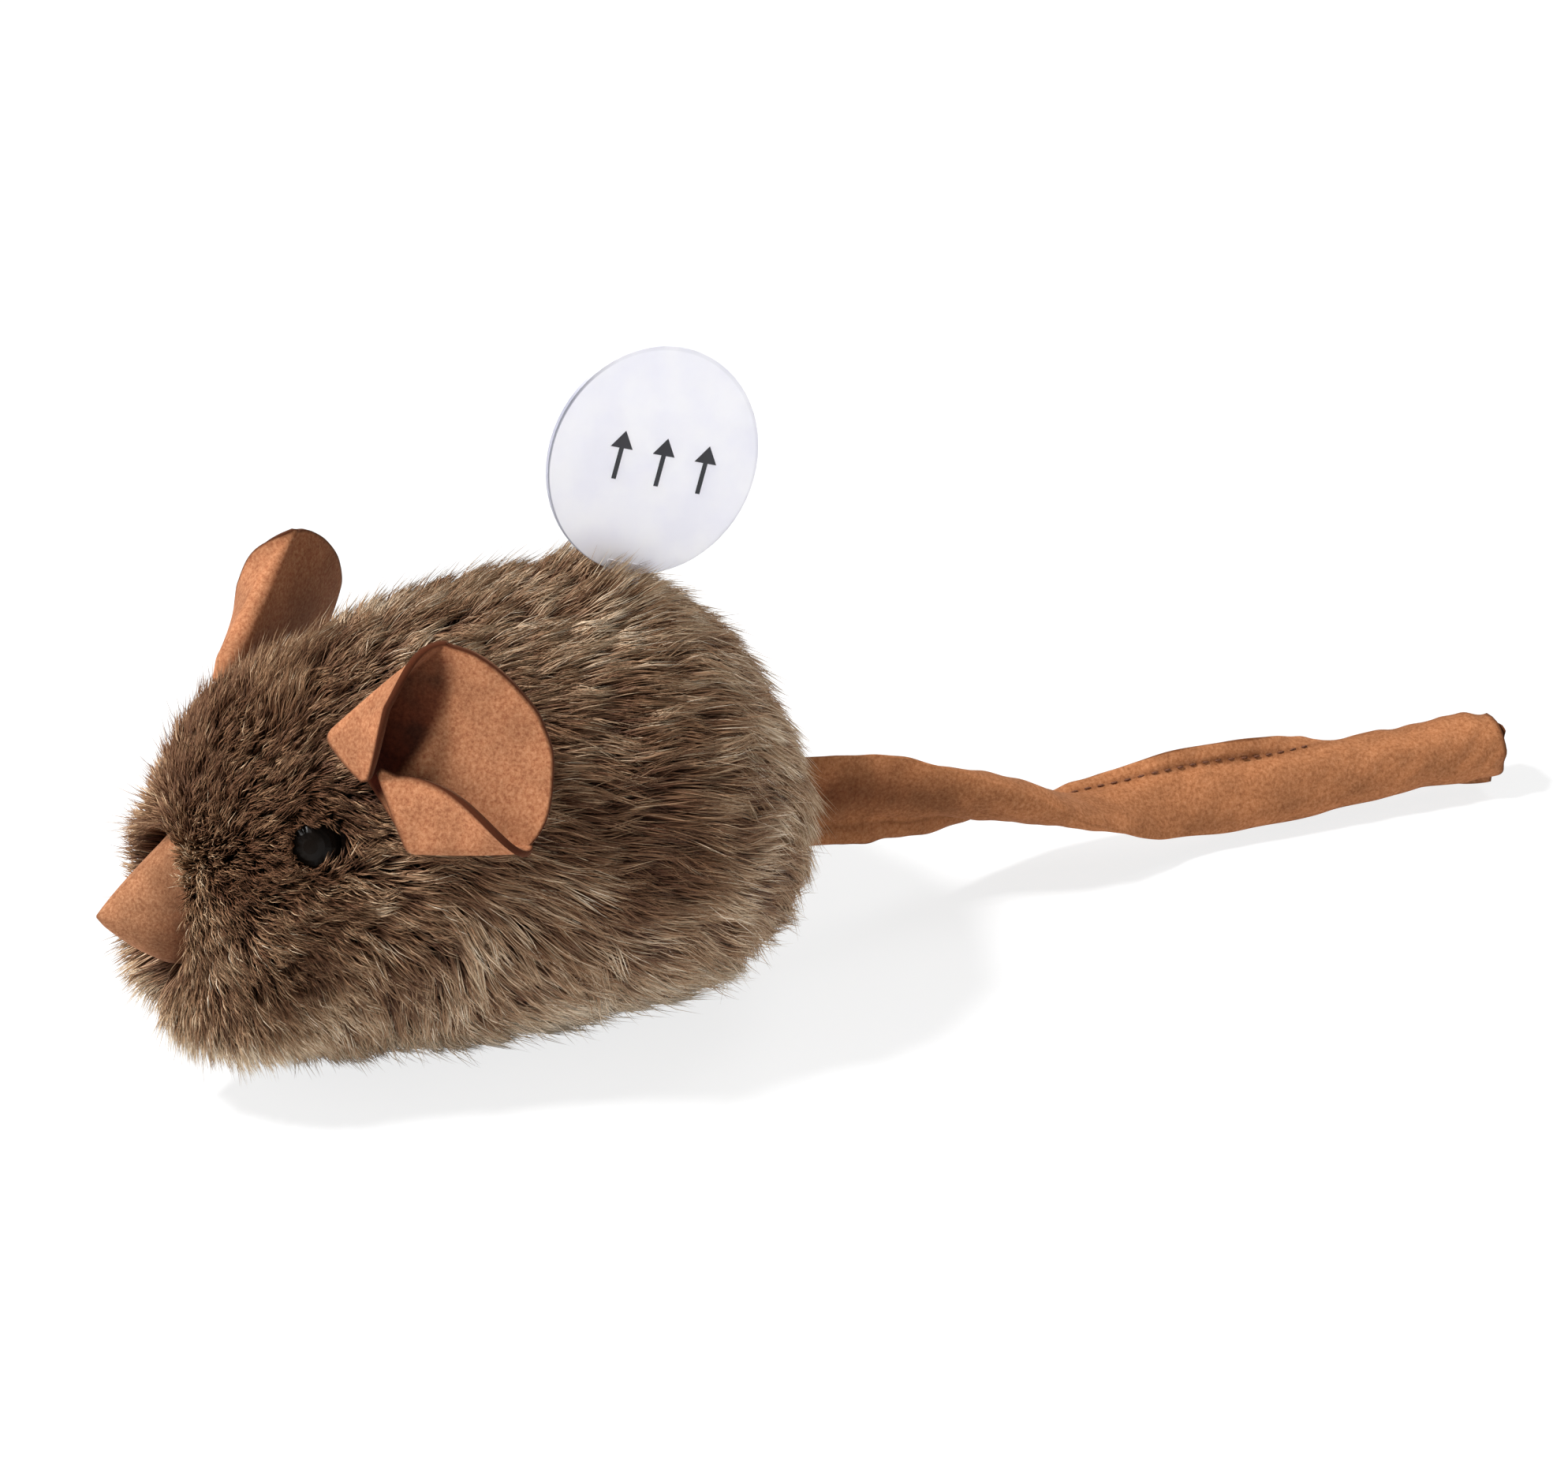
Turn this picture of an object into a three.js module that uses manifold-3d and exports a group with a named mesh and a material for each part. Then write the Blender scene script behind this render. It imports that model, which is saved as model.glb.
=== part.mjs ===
// A soft toy mouse with a sound module inside: a furry egg-shaped body of two side
// panels and a belly gusset, suede ears, nose and twisted tail, button eyes, and a
// pull tab that keeps the module's cells apart until it is drawn out of the back.
// Millimetres. The nose points to -Y, the tail to +Y, the mouse's left is +X.
// The origin is the middle of the flat face that the belly rests on.
import * as THREE from 'three';
import { mergeVertices } from 'three/addons/utils/BufferGeometryUtils.js';
import Module from 'manifold-3d';

const wasm = await Module();
wasm.setup();
const { Manifold, Mesh: SolidMesh } = wasm;

// Fit between pieces that touch
const seatGap = 0.3;
const overrun = 2;

// Body
const bodyLength = 75.5;
const bodyHalfWidth = 26;
const bodyHeight = 51;
const restPlaceShare = 0.497;
const furDepth = 5;
const bellyFurDepth = 3.5;
const gussetHalfAngle = 44;

// Along the body from the nose end: place, half width, top and underside
const bodyShares = [
  [0, 0.23, 0.612, 0.27],
  [0.06, 0.47, 0.773, 0.12],
  [0.16, 0.65, 0.884, 0.03],
  [0.3, 0.8, 0.968, -0.014],
  [0.45, 0.915, 1, -0.026],
  [0.6, 0.99, 1, -0.026],
  [0.75, 0.99, 0.973, -0.01],
  [0.88, 0.78, 0.822, 0.07],
  [0.96, 0.44, 0.588, 0.19],
  [1, 0.08, 0.357, 0.32],
];
const gussetEndShares = [0.05, 0.93];
const gussetPointShare = 0.02;

// Nose
const noseWidthShare = 0.87;
const noseHeightShare = 0.89;
const noseReach = 6;
const nosePlugDepth = 4.6;
const noseTipDrop = 0.4;

// From the nose's back to its tip: place and size
const noseShares = [
  [0, 0.84],
  [0.27, 1],
  [0.44, 0.86],
  [0.62, 0.6],
  [0.8, 0.34],
  [0.93, 0.14],
  [1, 0.05],
];

// Eyes, as stations on the body
const eyeRadius = 3;
const eyeDomeHeight = 2.2;
const eyeSinkDepth = 2.8;
const eyeStemRadius = 1.1;
const eyeStemLength = 6;
const eyePlaceShare = 0.171;
const eyeAngle = 60;
const washerRadius = 4;
const washerThickness = 1;

// Ears: a leaf of suede, both sides folded in along lines that spread from its base.
// The two sit alike, but each has been bent by hand in its own way.
const earForms = {
  left: {
    frontPlaceShare: 0.227, frontAngle: 33, backPlaceShare: 0.299, backAngle: 68,
    frontFold: 17.8, frontSplayAngle: 1.9, frontLeanAngle: 60, frontOpeningAngle: 46,
    backFold: 12.2, backSplayAngle: 33, backLeanAngle: 76, backOpeningAngle: 8,
    rimBulge: 8,
  },
  right: {
    frontPlaceShare: 0.205, frontAngle: 38, backPlaceShare: 0.28, backAngle: 73,
    frontFold: 17, frontSplayAngle: -13, frontLeanAngle: 60, frontOpeningAngle: 26,
    backFold: 12, backSplayAngle: 30, backLeanAngle: 70, backOpeningAngle: 8,
    rimBulge: 3.6,
  },
};
const earThickness = 0.9;
const earCup = 1.6;
const earFoldRadius = 1;
const earShutAngle = 6;
const earUnfoldShare = 0.7;
const earFrontFlap = 6.6;
const earBackFlap = 7.2;
const earFrontRiseShare = 0.3;
const earBackRiseShare = 0.55;

// Tail: a flat sewn tube that twists and droops to the floor
const tailLength = 87;
const tailWidth = 10.6;
const tailThickness = 2.2;
const tailRootHeight = 17;
const tailRestHeight = 5.8;
const tailDrift = 3.6;
const tailTwistAngle = 195;
const tailSocketRadius = 1.9;
const tailSocketHeight = 12;
const tailTwistShares = [
  [0, 0], [0.08, 0.02], [0.3, 0.3], [0.42, 0.52], [0.56, 0.75], [0.76, 0.92], [1, 1],
];
const tailDropShares = [[0, 0], [0.1, 0.1], [0.3, 0.56], [0.56, 0.92], [0.76, 1], [1, 1]];
const tailDriftShares = [[0, 0], [0.3, 0], [0.56, 0.1], [0.76, 0.45], [1, 1]];

// Pull tab: a disc on a strip that stands in the back seam
const tabRadius = 12.5;
const tabThickness = 0.5;
const tabStripWidth = 4.5;
const tabLeanAngle = 22;
const tabTiltAngle = 10.4;
const tabPlaceShare = 0.726;
const tabNeckRise = 1.1;
const tabNeckLap = 0.6;

// Sound module
const moduleRadius = 16;
const moduleHeight = 17.6;
const moduleWall = 1.6;
const moduleFloor = 1.5;
const lidThickness = 1.5;
const lidRimDepth = 1.5;
const lidRimWall = 1;
const moduleMiddleShare = 0.494;
const bossRadius = 2.3;
const bossBoreRadius = 1.1;
const bossReach = 12.4;
const bossAngles = [90, 220, 320];
const bossBoreDepth = 10;

// Button cells
const cellRadius = 5.8;
const cellThickness = 5.4;
const cellCapRadius = 4.9;
const cellCapHeight = 0.4;
const cellShiftY = 1.5;
const cellShiftZ = 0.9;
const contactThickness = 0.4;
const contactWidth = 6;
const contactHeight = 9;
const contactBow = 0.7;
const contactTail = 6;
const contactTailHeight = 2;
const ribThickness = 1;
const cradleHeight = 8.8;
const ribHeight = 11;

// Piezo sounder under the cells
const brassRadius = 7.5;
const brassThickness = 0.3;
const ceramicRadius = 5;
const ceramicThickness = 0.3;
const sounderShiftX = -1;
const sounderShiftY = -1;
const sounderRingHeight = 0.8;
const sounderRingWidth = 1.5;
const sounderLap = 0.4;
const soundHoleRadius = 1;
const soundHoleReach = 4;
const soundHoleCount = 6;
const archHeight = 3.7;

// Circuit board and what it carries
const boardHalfWidth = 6.9;
const boardThickness = 1;
const boardHeight = -2;
const boardPostRadius = 1;
const boardPostShares = [[0.75, 0.18], [0.65, 0.78], [-0.65, 0.78], [-0.9, 0.45]];
const chipRadius = 2.8;
const chipHeight = 1.2;
const chipShare = 0.45;

// Shake switch: a spring that wags round a pin in a metal can
const canRadius = 1.8;
const canWall = 0.3;
const canLength = 9;
const canShare = 0.28;
const plugLength = 0.8;
const pinRadius = 0.25;
const pinLength = 6;
const coilRadius = 0.85;
const coilWireRadius = 0.13;
const coilLength = 6.4;
const coilTurns = 9;

// Wires and screws
const wireRadius = 0.35;
const screwHeadRadius = 1.6;
const screwHeadHeight = 0.9;
const screwShankRadius = 0.8;
const screwLength = 7;
const screwPocketRadius = 2;
const screwSlotWidth = 0.4;
const screwSlotDepth = 0.45;

// Facets
const roundSteps = 32;
const smallSteps = 16;
const alongSteps = 22;
const sideSteps = 13;
const gussetSteps = 5;

const degrees = THREE.MathUtils.degToRad;
const lerp = THREE.MathUtils.lerp;

// Smooth value of one column of a table whose first column is the place
function smooth(table, place, column = 1) {
  const last = table.length - 1;
  let index = 0;
  while (index < last - 1 && place > table[index + 1][0]) {
    index += 1;
  }
  const slopeBetween = (row) => {
    const run = table[row + 1][0] - table[row][0];
    return (table[row + 1][column] - table[row][column]) / run;
  };
  const slopeAt = (row) => {
    if (row === 0 || row === last) {
      return slopeBetween(row === 0 ? 0 : last - 1);
    }
    const before = slopeBetween(row - 1);
    const after = slopeBetween(row);
    return before * after > 0 ? (2 * before * after) / (before + after) : 0;
  };
  const span = table[index + 1][0] - table[index][0];
  const share = (place - table[index][0]) / span;
  const square = share * share;
  const cube = square * share;
  return table[index][column] * (2 * cube - 3 * square + 1)
    + slopeAt(index) * span * (cube - 2 * square + share)
    + table[index + 1][column] * (3 * square - 2 * cube)
    + slopeAt(index + 1) * span * (cube - square);
}

// Body surface: place along it from 0 to 1, angle from the top towards +X, and how
// far the surface lies inside the tips of the fur
function bodyPoint(place, angle, depth = 0) {
  const halfWidth = smooth(bodyShares, place, 1) * bodyHalfWidth;
  const top = smooth(bodyShares, place, 2) * bodyHeight;
  const underside = smooth(bodyShares, place, 3) * bodyHeight;
  const turn = degrees(angle);
  const middle = (top + underside) / 2;
  const point = new THREE.Vector3(
    halfWidth * Math.sin(turn),
    (place - restPlaceShare) * bodyLength,
    middle + (top - middle) * Math.cos(turn),
  );
  const centreY = (0.5 - restPlaceShare) * bodyLength;
  const centreZ = bodyHeight / 2;
  point.x *= 1 - depth / bodyHalfWidth;
  point.y = centreY + (point.y - centreY) * (1 - (2 * depth) / bodyLength);
  point.z = centreZ + (point.z - centreZ) * (1 - (2 * depth) / bodyHeight);
  point.z = Math.max(point.z, (depth / furDepth) * bellyFurDepth);
  return point;
}

function bodyNormal(place, angle) {
  const placeStep = 0.004;
  const angleStep = 0.5;
  const along = bodyPoint(place + placeStep, angle).sub(bodyPoint(place - placeStep, angle));
  const round = bodyPoint(place, angle + angleStep).sub(bodyPoint(place, angle - angleStep));
  return round.cross(along).normalize();
}

function signedVolume(positions, faces) {
  const [a, b, c] = [new THREE.Vector3(), new THREE.Vector3(), new THREE.Vector3()];
  let sum = 0;
  for (const [i, j, k] of faces) {
    a.copy(positions[i]);
    b.copy(positions[j]);
    c.copy(positions[k]);
    sum += a.dot(b.cross(c));
  }
  return sum;
}

// Geometry from points and triangles, turned so that its faces point out
function closedGeometry(positions, faces) {
  const outward = signedVolume(positions, faces) > 0;
  const index = faces.flatMap(([i, j, k]) => (outward ? [i, j, k] : [i, k, j]));
  const geometry = new THREE.BufferGeometry();
  geometry.setFromPoints(positions);
  geometry.setIndex(index);
  return geometry;
}

// Closed skin between two grids of points of the same size
function skinBetween(outerRows, innerRows) {
  const rows = outerRows.length;
  const columns = outerRows[0].length;
  const positions = [...outerRows.flat(), ...innerRows.flat()];
  const at = (layer, row, column) => layer * rows * columns + row * columns + column;
  const faces = [];
  const quad = (a, b, c, d) => faces.push([a, b, c], [a, c, d]);
  for (let row = 0; row < rows - 1; row += 1) {
    const up = row + 1;
    for (let column = 0; column < columns - 1; column += 1) {
      const next = column + 1;
      quad(at(0, row, column), at(0, row, next), at(0, up, next), at(0, up, column));
      quad(at(1, row, column), at(1, up, column), at(1, up, next), at(1, row, next));
    }
    quad(at(0, row, 0), at(0, row + 1, 0), at(1, row + 1, 0), at(1, row, 0));
    const end = columns - 1;
    quad(at(0, row + 1, end), at(0, row, end), at(1, row, end), at(1, row + 1, end));
  }
  for (let column = 0; column < columns - 1; column += 1) {
    quad(at(0, 0, column + 1), at(0, 0, column), at(1, 0, column), at(1, 0, column + 1));
    const end = rows - 1;
    quad(at(0, end, column), at(0, end, column + 1), at(1, end, column + 1), at(1, end, column));
  }
  return closedGeometry(positions, faces);
}

// Closed solid through rings of points, its two ends closed by fans
function loft(rings) {
  const count = rings[0].length;
  const positions = rings.flat();
  const faces = [];
  for (let ring = 0; ring < rings.length - 1; ring += 1) {
    for (let index = 0; index < count; index += 1) {
      const next = (index + 1) % count;
      const [a, b] = [ring * count + index, ring * count + next];
      faces.push([a, b, b + count], [a, b + count, a + count]);
    }
  }
  const ends = [[rings[0], 0, true], [rings[rings.length - 1], (rings.length - 1) * count, false]];
  for (const [ring, first, flip] of ends) {
    const middle = ring.reduce((sum, point) => sum.add(point), new THREE.Vector3());
    positions.push(middle.divideScalar(count));
    const centre = positions.length - 1;
    for (let index = 0; index < count; index += 1) {
      const [a, b] = [first + index, first + ((index + 1) % count)];
      faces.push(flip ? [centre, b, a] : [centre, a, b]);
    }
  }
  return closedGeometry(positions, faces);
}

function solid(geometry) {
  const bare = geometry.clone();
  bare.deleteAttribute('normal');
  bare.deleteAttribute('uv');
  const merged = mergeVertices(bare, 1e-4);
  return new Manifold(new SolidMesh({
    numProp: 3,
    vertProperties: new Float32Array(merged.attributes.position.array),
    triVerts: new Uint32Array(merged.index.array),
  }));
}

function geometryOf(body) {
  const mesh = body.getMesh();
  const geometry = new THREE.BufferGeometry();
  geometry.setAttribute('position', new THREE.BufferAttribute(mesh.vertProperties, 3));
  geometry.setIndex(new THREE.BufferAttribute(mesh.triVerts, 1));
  return geometry;
}

function joined(...geometries) {
  return geometryOf(geometries.map(solid).reduce((sum, next) => sum.add(next)));
}

function cut(geometry, ...cutters) {
  return geometryOf(cutters.map(solid).reduce((rest, next) => rest.subtract(next), solid(geometry)));
}

// Box between two corners
function block([x0, y0, z0], [x1, y1, z1]) {
  const geometry = new THREE.BoxGeometry(x1 - x0, y1 - y0, z1 - z0);
  return geometry.translate((x0 + x1) / 2, (y0 + y1) / 2, (z0 + z1) / 2);
}

// Upright cylinder between two heights
function post(x, y, radius, z0, z1, steps = smallSteps) {
  const geometry = new THREE.CylinderGeometry(radius, radius, z1 - z0, steps);
  return geometry.rotateX(Math.PI / 2).translate(x, y, (z0 + z1) / 2);
}

function extruded(shape, depth) {
  return new THREE.ExtrudeGeometry(shape, { depth, bevelEnabled: false, curveSegments: 9 });
}

// Solid of revolution about Z from [radius, height] pairs
function turned(profile, steps = roundSteps) {
  const points = profile.map(([radius, height]) => new THREE.Vector2(radius, height));
  return new THREE.LatheGeometry(points, steps).rotateX(Math.PI / 2);
}

function mirrored(geometry) {
  const copy = geometry.clone().scale(-1, 1, 1);
  const index = copy.index.array;
  for (let corner = 0; corner < index.length; corner += 3) {
    [index[corner + 1], index[corner + 2]] = [index[corner + 2], index[corner + 1]];
  }
  return copy;
}

// The strip leaves the back at the tab's neck and leans forward down to the module's middle
const neck = bodyPoint(tabPlaceShare, 0);
const moduleDepth = (neck.z + tabNeckRise - moduleMiddleShare * bodyHeight)
  / Math.cos(degrees(tabLeanAngle));
const tabMatrix = new THREE.Matrix4()
  .makeTranslation(0, neck.y, neck.z + tabNeckRise)
  .multiply(new THREE.Matrix4().makeRotationX(-degrees(tabLeanAngle)));
const moduleMatrix = tabMatrix.clone()
  .multiply(new THREE.Matrix4().makeTranslation(0, -cellShiftY, -moduleDepth));

const moduleTop = moduleHeight / 2;
const moduleBottom = -moduleTop;
const floorTop = moduleBottom + moduleFloor;
const lidBottom = moduleTop - lidThickness;
const cupTop = lidBottom - seatGap;
const moduleBore = moduleRadius - moduleWall;
const stripBottom = cellShiftZ - cellRadius + tabStripWidth / 4 - moduleDepth;

// Slot that the strip runs in, from its lower end to above the back
function stripSlot() {
  const halfThick = tabThickness / 2 + seatGap;
  const halfWide = tabStripWidth / 2 + seatGap;
  const slot = block([-halfThick, -halfWide, stripBottom], [halfThick, halfWide, tabRadius]);
  return slot.applyMatrix4(tabMatrix);
}

// Frame at a station of the body, +Z along the surface's normal
function stationMatrix(place, angle) {
  const normal = bodyNormal(place, angle);
  const turn = new THREE.Quaternion().setFromUnitVectors(new THREE.Vector3(0, 0, 1), normal);
  const one = new THREE.Vector3(1, 1, 1);
  return new THREE.Matrix4().compose(bodyPoint(place, angle), turn, one);
}

const eyeMatrix = stationMatrix(eyePlaceShare, eyeAngle);

function onEye(geometry, side) {
  const placed = geometry.applyMatrix4(eyeMatrix);
  return side > 0 ? placed : mirrored(placed);
}

// Half the angle that the belly gusset spans, nothing past its two points
function gussetAngle(place) {
  const [start, end] = gussetEndShares;
  if (place <= start || place >= end) {
    return 0;
  }
  return gussetHalfAngle * Math.sin((Math.PI * (place - start)) / (end - start)) ** 0.8;
}

function seamAngle(place) {
  const radius = smooth(bodyShares, place, 1) * bodyHalfWidth;
  return THREE.MathUtils.radToDeg(seatGap / 2 / radius);
}

// Places along the body, closer together at its two ends
function places(from, to, steps) {
  const spread = (index) => (1 - Math.cos((Math.PI * index) / steps)) / 2;
  return Array.from({ length: steps + 1 }, (_, index) => lerp(from, to, spread(index)));
}

function panelRows(stations, angles, depth, steps) {
  return stations.map((place) => {
    const [from, to] = angles(place);
    return Array.from({ length: steps + 1 }, (_, index) => (
      bodyPoint(place, lerp(from, to, index / steps), depth)));
  });
}

function tailSocket() {
  const back = bodyPoint(1, 0).y;
  const half = tailSocketHeight / 2;
  return post(0, back + seatGap, tailSocketRadius, tailRootHeight - half, tailRootHeight + half);
}

function sidePanel(side) {
  const stations = places(0, 1, alongSteps);
  const angles = (place) => [seamAngle(place), 180 - seamAngle(place) - gussetAngle(place)];
  const skin = skinBetween(
    panelRows(stations, angles, 0, sideSteps),
    panelRows(stations, angles, furDepth, sideSteps),
  );
  const socketBottom = -eyeSinkDepth - seatGap;
  const socket = post(0, 0, eyeRadius + seatGap, socketBottom, overrun, smallSteps);
  const stemHole = post(0, 0, eyeStemRadius + seatGap, -2 * furDepth, overrun, smallSteps);
  const half = side > 0 ? skin : mirrored(skin);
  return cut(half, onEye(socket, side), onEye(stemHole, side), stripSlot(), tailSocket());
}

function bellyGusset() {
  const [start, end] = gussetEndShares;
  const stations = places(start + gussetPointShare, end - gussetPointShare, alongSteps - 4);
  const angles = (place) => {
    const half = gussetAngle(place) - seamAngle(place);
    return [180 - half, 180 + half];
  };
  return skinBetween(
    panelRows(stations, angles, 0, gussetSteps),
    panelRows(stations, angles, furDepth, gussetSteps),
  );
}

// Fibre filling with a pocket for the module and hollows behind the eyes
function filling() {
  const stations = places(0, 1, alongSteps - 4);
  const rings = stations.map((place) => (
    Array.from({ length: roundSteps - 4 }, (_, index) => (
      bodyPoint(place, (360 * index) / (roundSteps - 4), furDepth + seatGap)))));
  const pocketTop = moduleTop + seatGap + screwHeadHeight;
  const pocket = post(0, 0, moduleRadius + seatGap, moduleBottom - seatGap, pocketTop, roundSteps)
    .applyMatrix4(moduleMatrix);
  const hollow = () => post(0, 0, washerRadius + seatGap,
    -eyeSinkDepth - eyeStemLength - seatGap, overrun);
  return cut(loft(rings), pocket, stripSlot(), onEye(hollow(), 1), onEye(hollow(), -1));
}

function nose() {
  const [top, underside] = [bodyPoint(0, 0), bodyPoint(0, 180)];
  const middle = (top.z + underside.z) / 2;
  const halfWidth = bodyPoint(0, 90).x * noseWidthShare;
  const halfHeight = (top.z - middle) * noseHeightShare;
  const steps = 20;
  const rings = noseShares.map(([place, size]) => (
    Array.from({ length: steps }, (_, index) => {
      const turn = (2 * Math.PI * index) / steps;
      return new THREE.Vector3(
        halfWidth * size * Math.cos(turn),
        top.y + lerp(nosePlugDepth, -noseReach, place),
        middle - noseTipDrop * place + halfHeight * size * Math.sin(turn),
      );
    })));
  return loft(rings);
}

function eye() {
  const domeSteps = 6;
  const profile = [[0, -eyeStemLength], [eyeStemRadius * 0.6, -eyeStemLength],
    [eyeStemRadius, -eyeStemLength + eyeStemRadius], [eyeStemRadius, 0], [eyeRadius, 0]];
  for (let index = 1; index <= domeSteps; index += 1) {
    const turn = (Math.PI * index) / (2 * domeSteps);
    const radius = index < domeSteps ? eyeRadius * Math.cos(turn) : 0;
    profile.push([radius, eyeDomeHeight * Math.sin(turn)]);
  }
  return turned(profile, roundSteps - 8).translate(0, 0, -eyeSinkDepth);
}

function eyeWasher() {
  const top = -furDepth - seatGap;
  const bore = eyeStemRadius + seatGap;
  const dish = washerThickness / 2;
  return turned([[bore, top - washerThickness], [washerRadius, top - washerThickness],
    [washerRadius, top - dish], [bore + dish, top], [bore, top],
    [bore, top - washerThickness]], roundSteps - 8);
}

// The ear's frame on the head: its base runs over the fur, the leaf leans back
function earFrame(form) {
  const lift = earThickness / 2 + seatGap;
  const placeAt = (part) => lerp(form.frontPlaceShare, form.backPlaceShare, part);
  const angleAt = (part) => lerp(form.frontAngle, form.backAngle, part);
  const baseAt = (part) => bodyPoint(placeAt(part), angleAt(part))
    .addScaledVector(bodyNormal(placeAt(part), angleAt(part)), lift);
  const across = baseAt(1).sub(baseAt(0)).normalize();
  const normal = bodyNormal(placeAt(0.5), angleAt(0.5));
  normal.addScaledVector(across, -normal.dot(across)).normalize();
  const rearward = new THREE.Vector3().crossVectors(across, normal);
  rearward.multiplyScalar(Math.sign(rearward.y));
  const leanAt = (part) => degrees(lerp(form.frontLeanAngle, form.backLeanAngle, part));
  const outAt = (part) => normal.clone().multiplyScalar(Math.cos(leanAt(part)))
    .addScaledVector(rearward, Math.sin(leanAt(part)));
  const facingAt = (part) => normal.clone().multiplyScalar(Math.sin(leanAt(part)))
    .addScaledVector(rearward, -Math.cos(leanAt(part)));
  const tip = (part, length, splay) => baseAt(part)
    .addScaledVector(outAt(part), length * Math.cos(degrees(splay)))
    .addScaledVector(across, length * Math.sin(degrees(splay)));
  const frontTip = tip(0, form.frontFold, -form.frontSplayAngle);
  const backTip = tip(1, form.backFold, form.backSplayAngle);
  return { baseAt, across, outAt, facingAt, frontTip, backTip, form };
}

// Points of one row of the ear, across both flaps, at a share of the way to the rim
function earRow(frame, share) {
  const { baseAt, across, outAt, facingAt, frontTip, backTip, form } = frame;
  const mainSteps = 7;
  const bendSteps = 4;
  const flapSteps = 3;
  const fade = Math.max(1 - share ** 1.2, 0.04);
  const mainPoint = (part) => {
    const bow = 4 * part * (1 - part);
    const rim = frontTip.clone().lerp(backTip, part).addScaledVector(outAt(part), form.rimBulge * bow);
    return baseAt(part).lerp(rim, share).addScaledVector(facingAt(part), -earCup * bow * share);
  };
  const flap = (corner, facing, towards, open, reachWay, width) => {
    const folded = Math.PI - degrees(lerp(earShutAngle, open, Math.min(2 * share, 1)));
    const angle = Math.PI - folded * (1 - earUnfoldShare * share ** 4);
    const centre = corner.clone().addScaledVector(facing, earFoldRadius);
    const points = [];
    for (let step = 1; step <= bendSteps; step += 1) {
      const turn = ((Math.PI - angle) * step) / bendSteps;
      points.push(centre.clone()
        .addScaledVector(facing, -earFoldRadius * Math.cos(turn))
        .addScaledVector(towards, -earFoldRadius * Math.sin(turn)));
    }
    const end = points[points.length - 1];
    for (let step = 1; step <= flapSteps; step += 1) {
      const reach = (width * fade * step) / flapSteps;
      points.push(end.clone()
        .addScaledVector(reachWay, reach * Math.cos(angle))
        .addScaledVector(facing, reach * Math.sin(angle)));
    }
    return points;
  };
  const main = Array.from({ length: mainSteps + 1 }, (_, index) => mainPoint(index / mainSteps));
  const back = across.clone().negate();
  const frontWay = across.clone().addScaledVector(outAt(0), earFrontRiseShare);
  const backWay = back.clone().addScaledVector(outAt(1), earBackRiseShare);
  return [
    ...flap(main[0], facingAt(0), across, form.frontOpeningAngle, frontWay, earFrontFlap).reverse(),
    ...main,
    ...flap(main[mainSteps], facingAt(1), back, form.backOpeningAngle, backWay, earBackFlap),
  ];
}

function ear(form) {
  const frame = earFrame(form);
  const rowSteps = 8;
  const rows = Array.from({ length: rowSteps + 1 }, (_, index) => earRow(frame, index / rowSteps));
  const offset = (distance) => rows.map((row, r) => row.map((point, c) => {
    const alongRow = row[Math.min(c + 1, row.length - 1)].clone().sub(row[Math.max(c - 1, 0)]);
    const upRow = rows[Math.min(r + 1, rowSteps)][c].clone().sub(rows[Math.max(r - 1, 0)][c]);
    const normal = alongRow.cross(upRow).normalize();
    return point.clone().addScaledVector(normal, distance);
  }));
  return skinBetween(offset(earThickness / 2), offset(-earThickness / 2));
}

// One ring of the tail: a flat section with round edges, turned about the tail's length
function tailRing(share, y, thickShare) {
  const steps = 14;
  const width = tailWidth / 2;
  const thick = (tailThickness / 2) * thickShare;
  const twist = degrees(tailTwistAngle * smooth(tailTwistShares, share));
  const droop = (tailRootHeight - tailRestHeight) * smooth(tailDropShares, share);
  const drift = tailDrift * smooth(tailDriftShares, share);
  return Array.from({ length: steps }, (_, index) => {
    const turn = (2 * Math.PI * index) / steps;
    const wide = width * Math.sign(Math.sin(turn)) * Math.abs(Math.sin(turn)) ** 0.7;
    const deep = thick * Math.sign(Math.cos(turn)) * Math.abs(Math.cos(turn)) ** 0.6;
    return new THREE.Vector3(
      drift + wide * Math.sin(twist) + deep * Math.cos(twist),
      y,
      tailRootHeight - droop + wide * Math.cos(twist) - deep * Math.sin(twist),
    );
  });
}

function tail() {
  const hinge = bodyPoint(1, 0).y + seatGap;
  const rootSteps = 3;
  const lengthSteps = 26;
  const rings = [];
  for (let step = 0; step < rootSteps; step += 1) {
    const turn = (Math.PI / 2) * ((step + 0.5) / rootSteps);
    rings.push(tailRing(0, hinge - (tailThickness / 2) * Math.cos(turn), Math.sin(turn)));
  }
  for (let step = 0; step <= lengthSteps; step += 1) {
    const share = step / lengthSteps;
    rings.push(tailRing(share, hinge + tailLength * share, 1));
  }
  return loft(rings);
}

function pullTab() {
  const half = tabThickness / 2;
  const strip = block([-half, -tabStripWidth / 2, stripBottom], [half, tabStripWidth / 2, tabNeckLap]);
  const disc = new THREE.CylinderGeometry(tabRadius, tabRadius, tabThickness, 2 * roundSteps);
  disc.rotateZ(Math.PI / 2);
  disc.translate(0, 0, tabRadius - tabNeckLap);
  disc.rotateY(-degrees(tabTiltAngle));
  return joined(strip, disc);
}

function bossPlaces() {
  return bossAngles.map((angle) => [
    bossReach * Math.cos(degrees(angle)),
    bossReach * Math.sin(degrees(angle)),
  ]);
}

const stackStart = -tabThickness / 2 - seatGap / 2 - 2 * (cellThickness + seatGap);
const cellStarts = [0, 1, 2].map((index) => (
  stackStart + index * (cellThickness + seatGap) + (index === 2 ? tabThickness + seatGap : 0)));
const stackEnd = cellStarts[2] + cellThickness;
const contactMiddleZ = cellShiftZ - seatGap;

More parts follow.
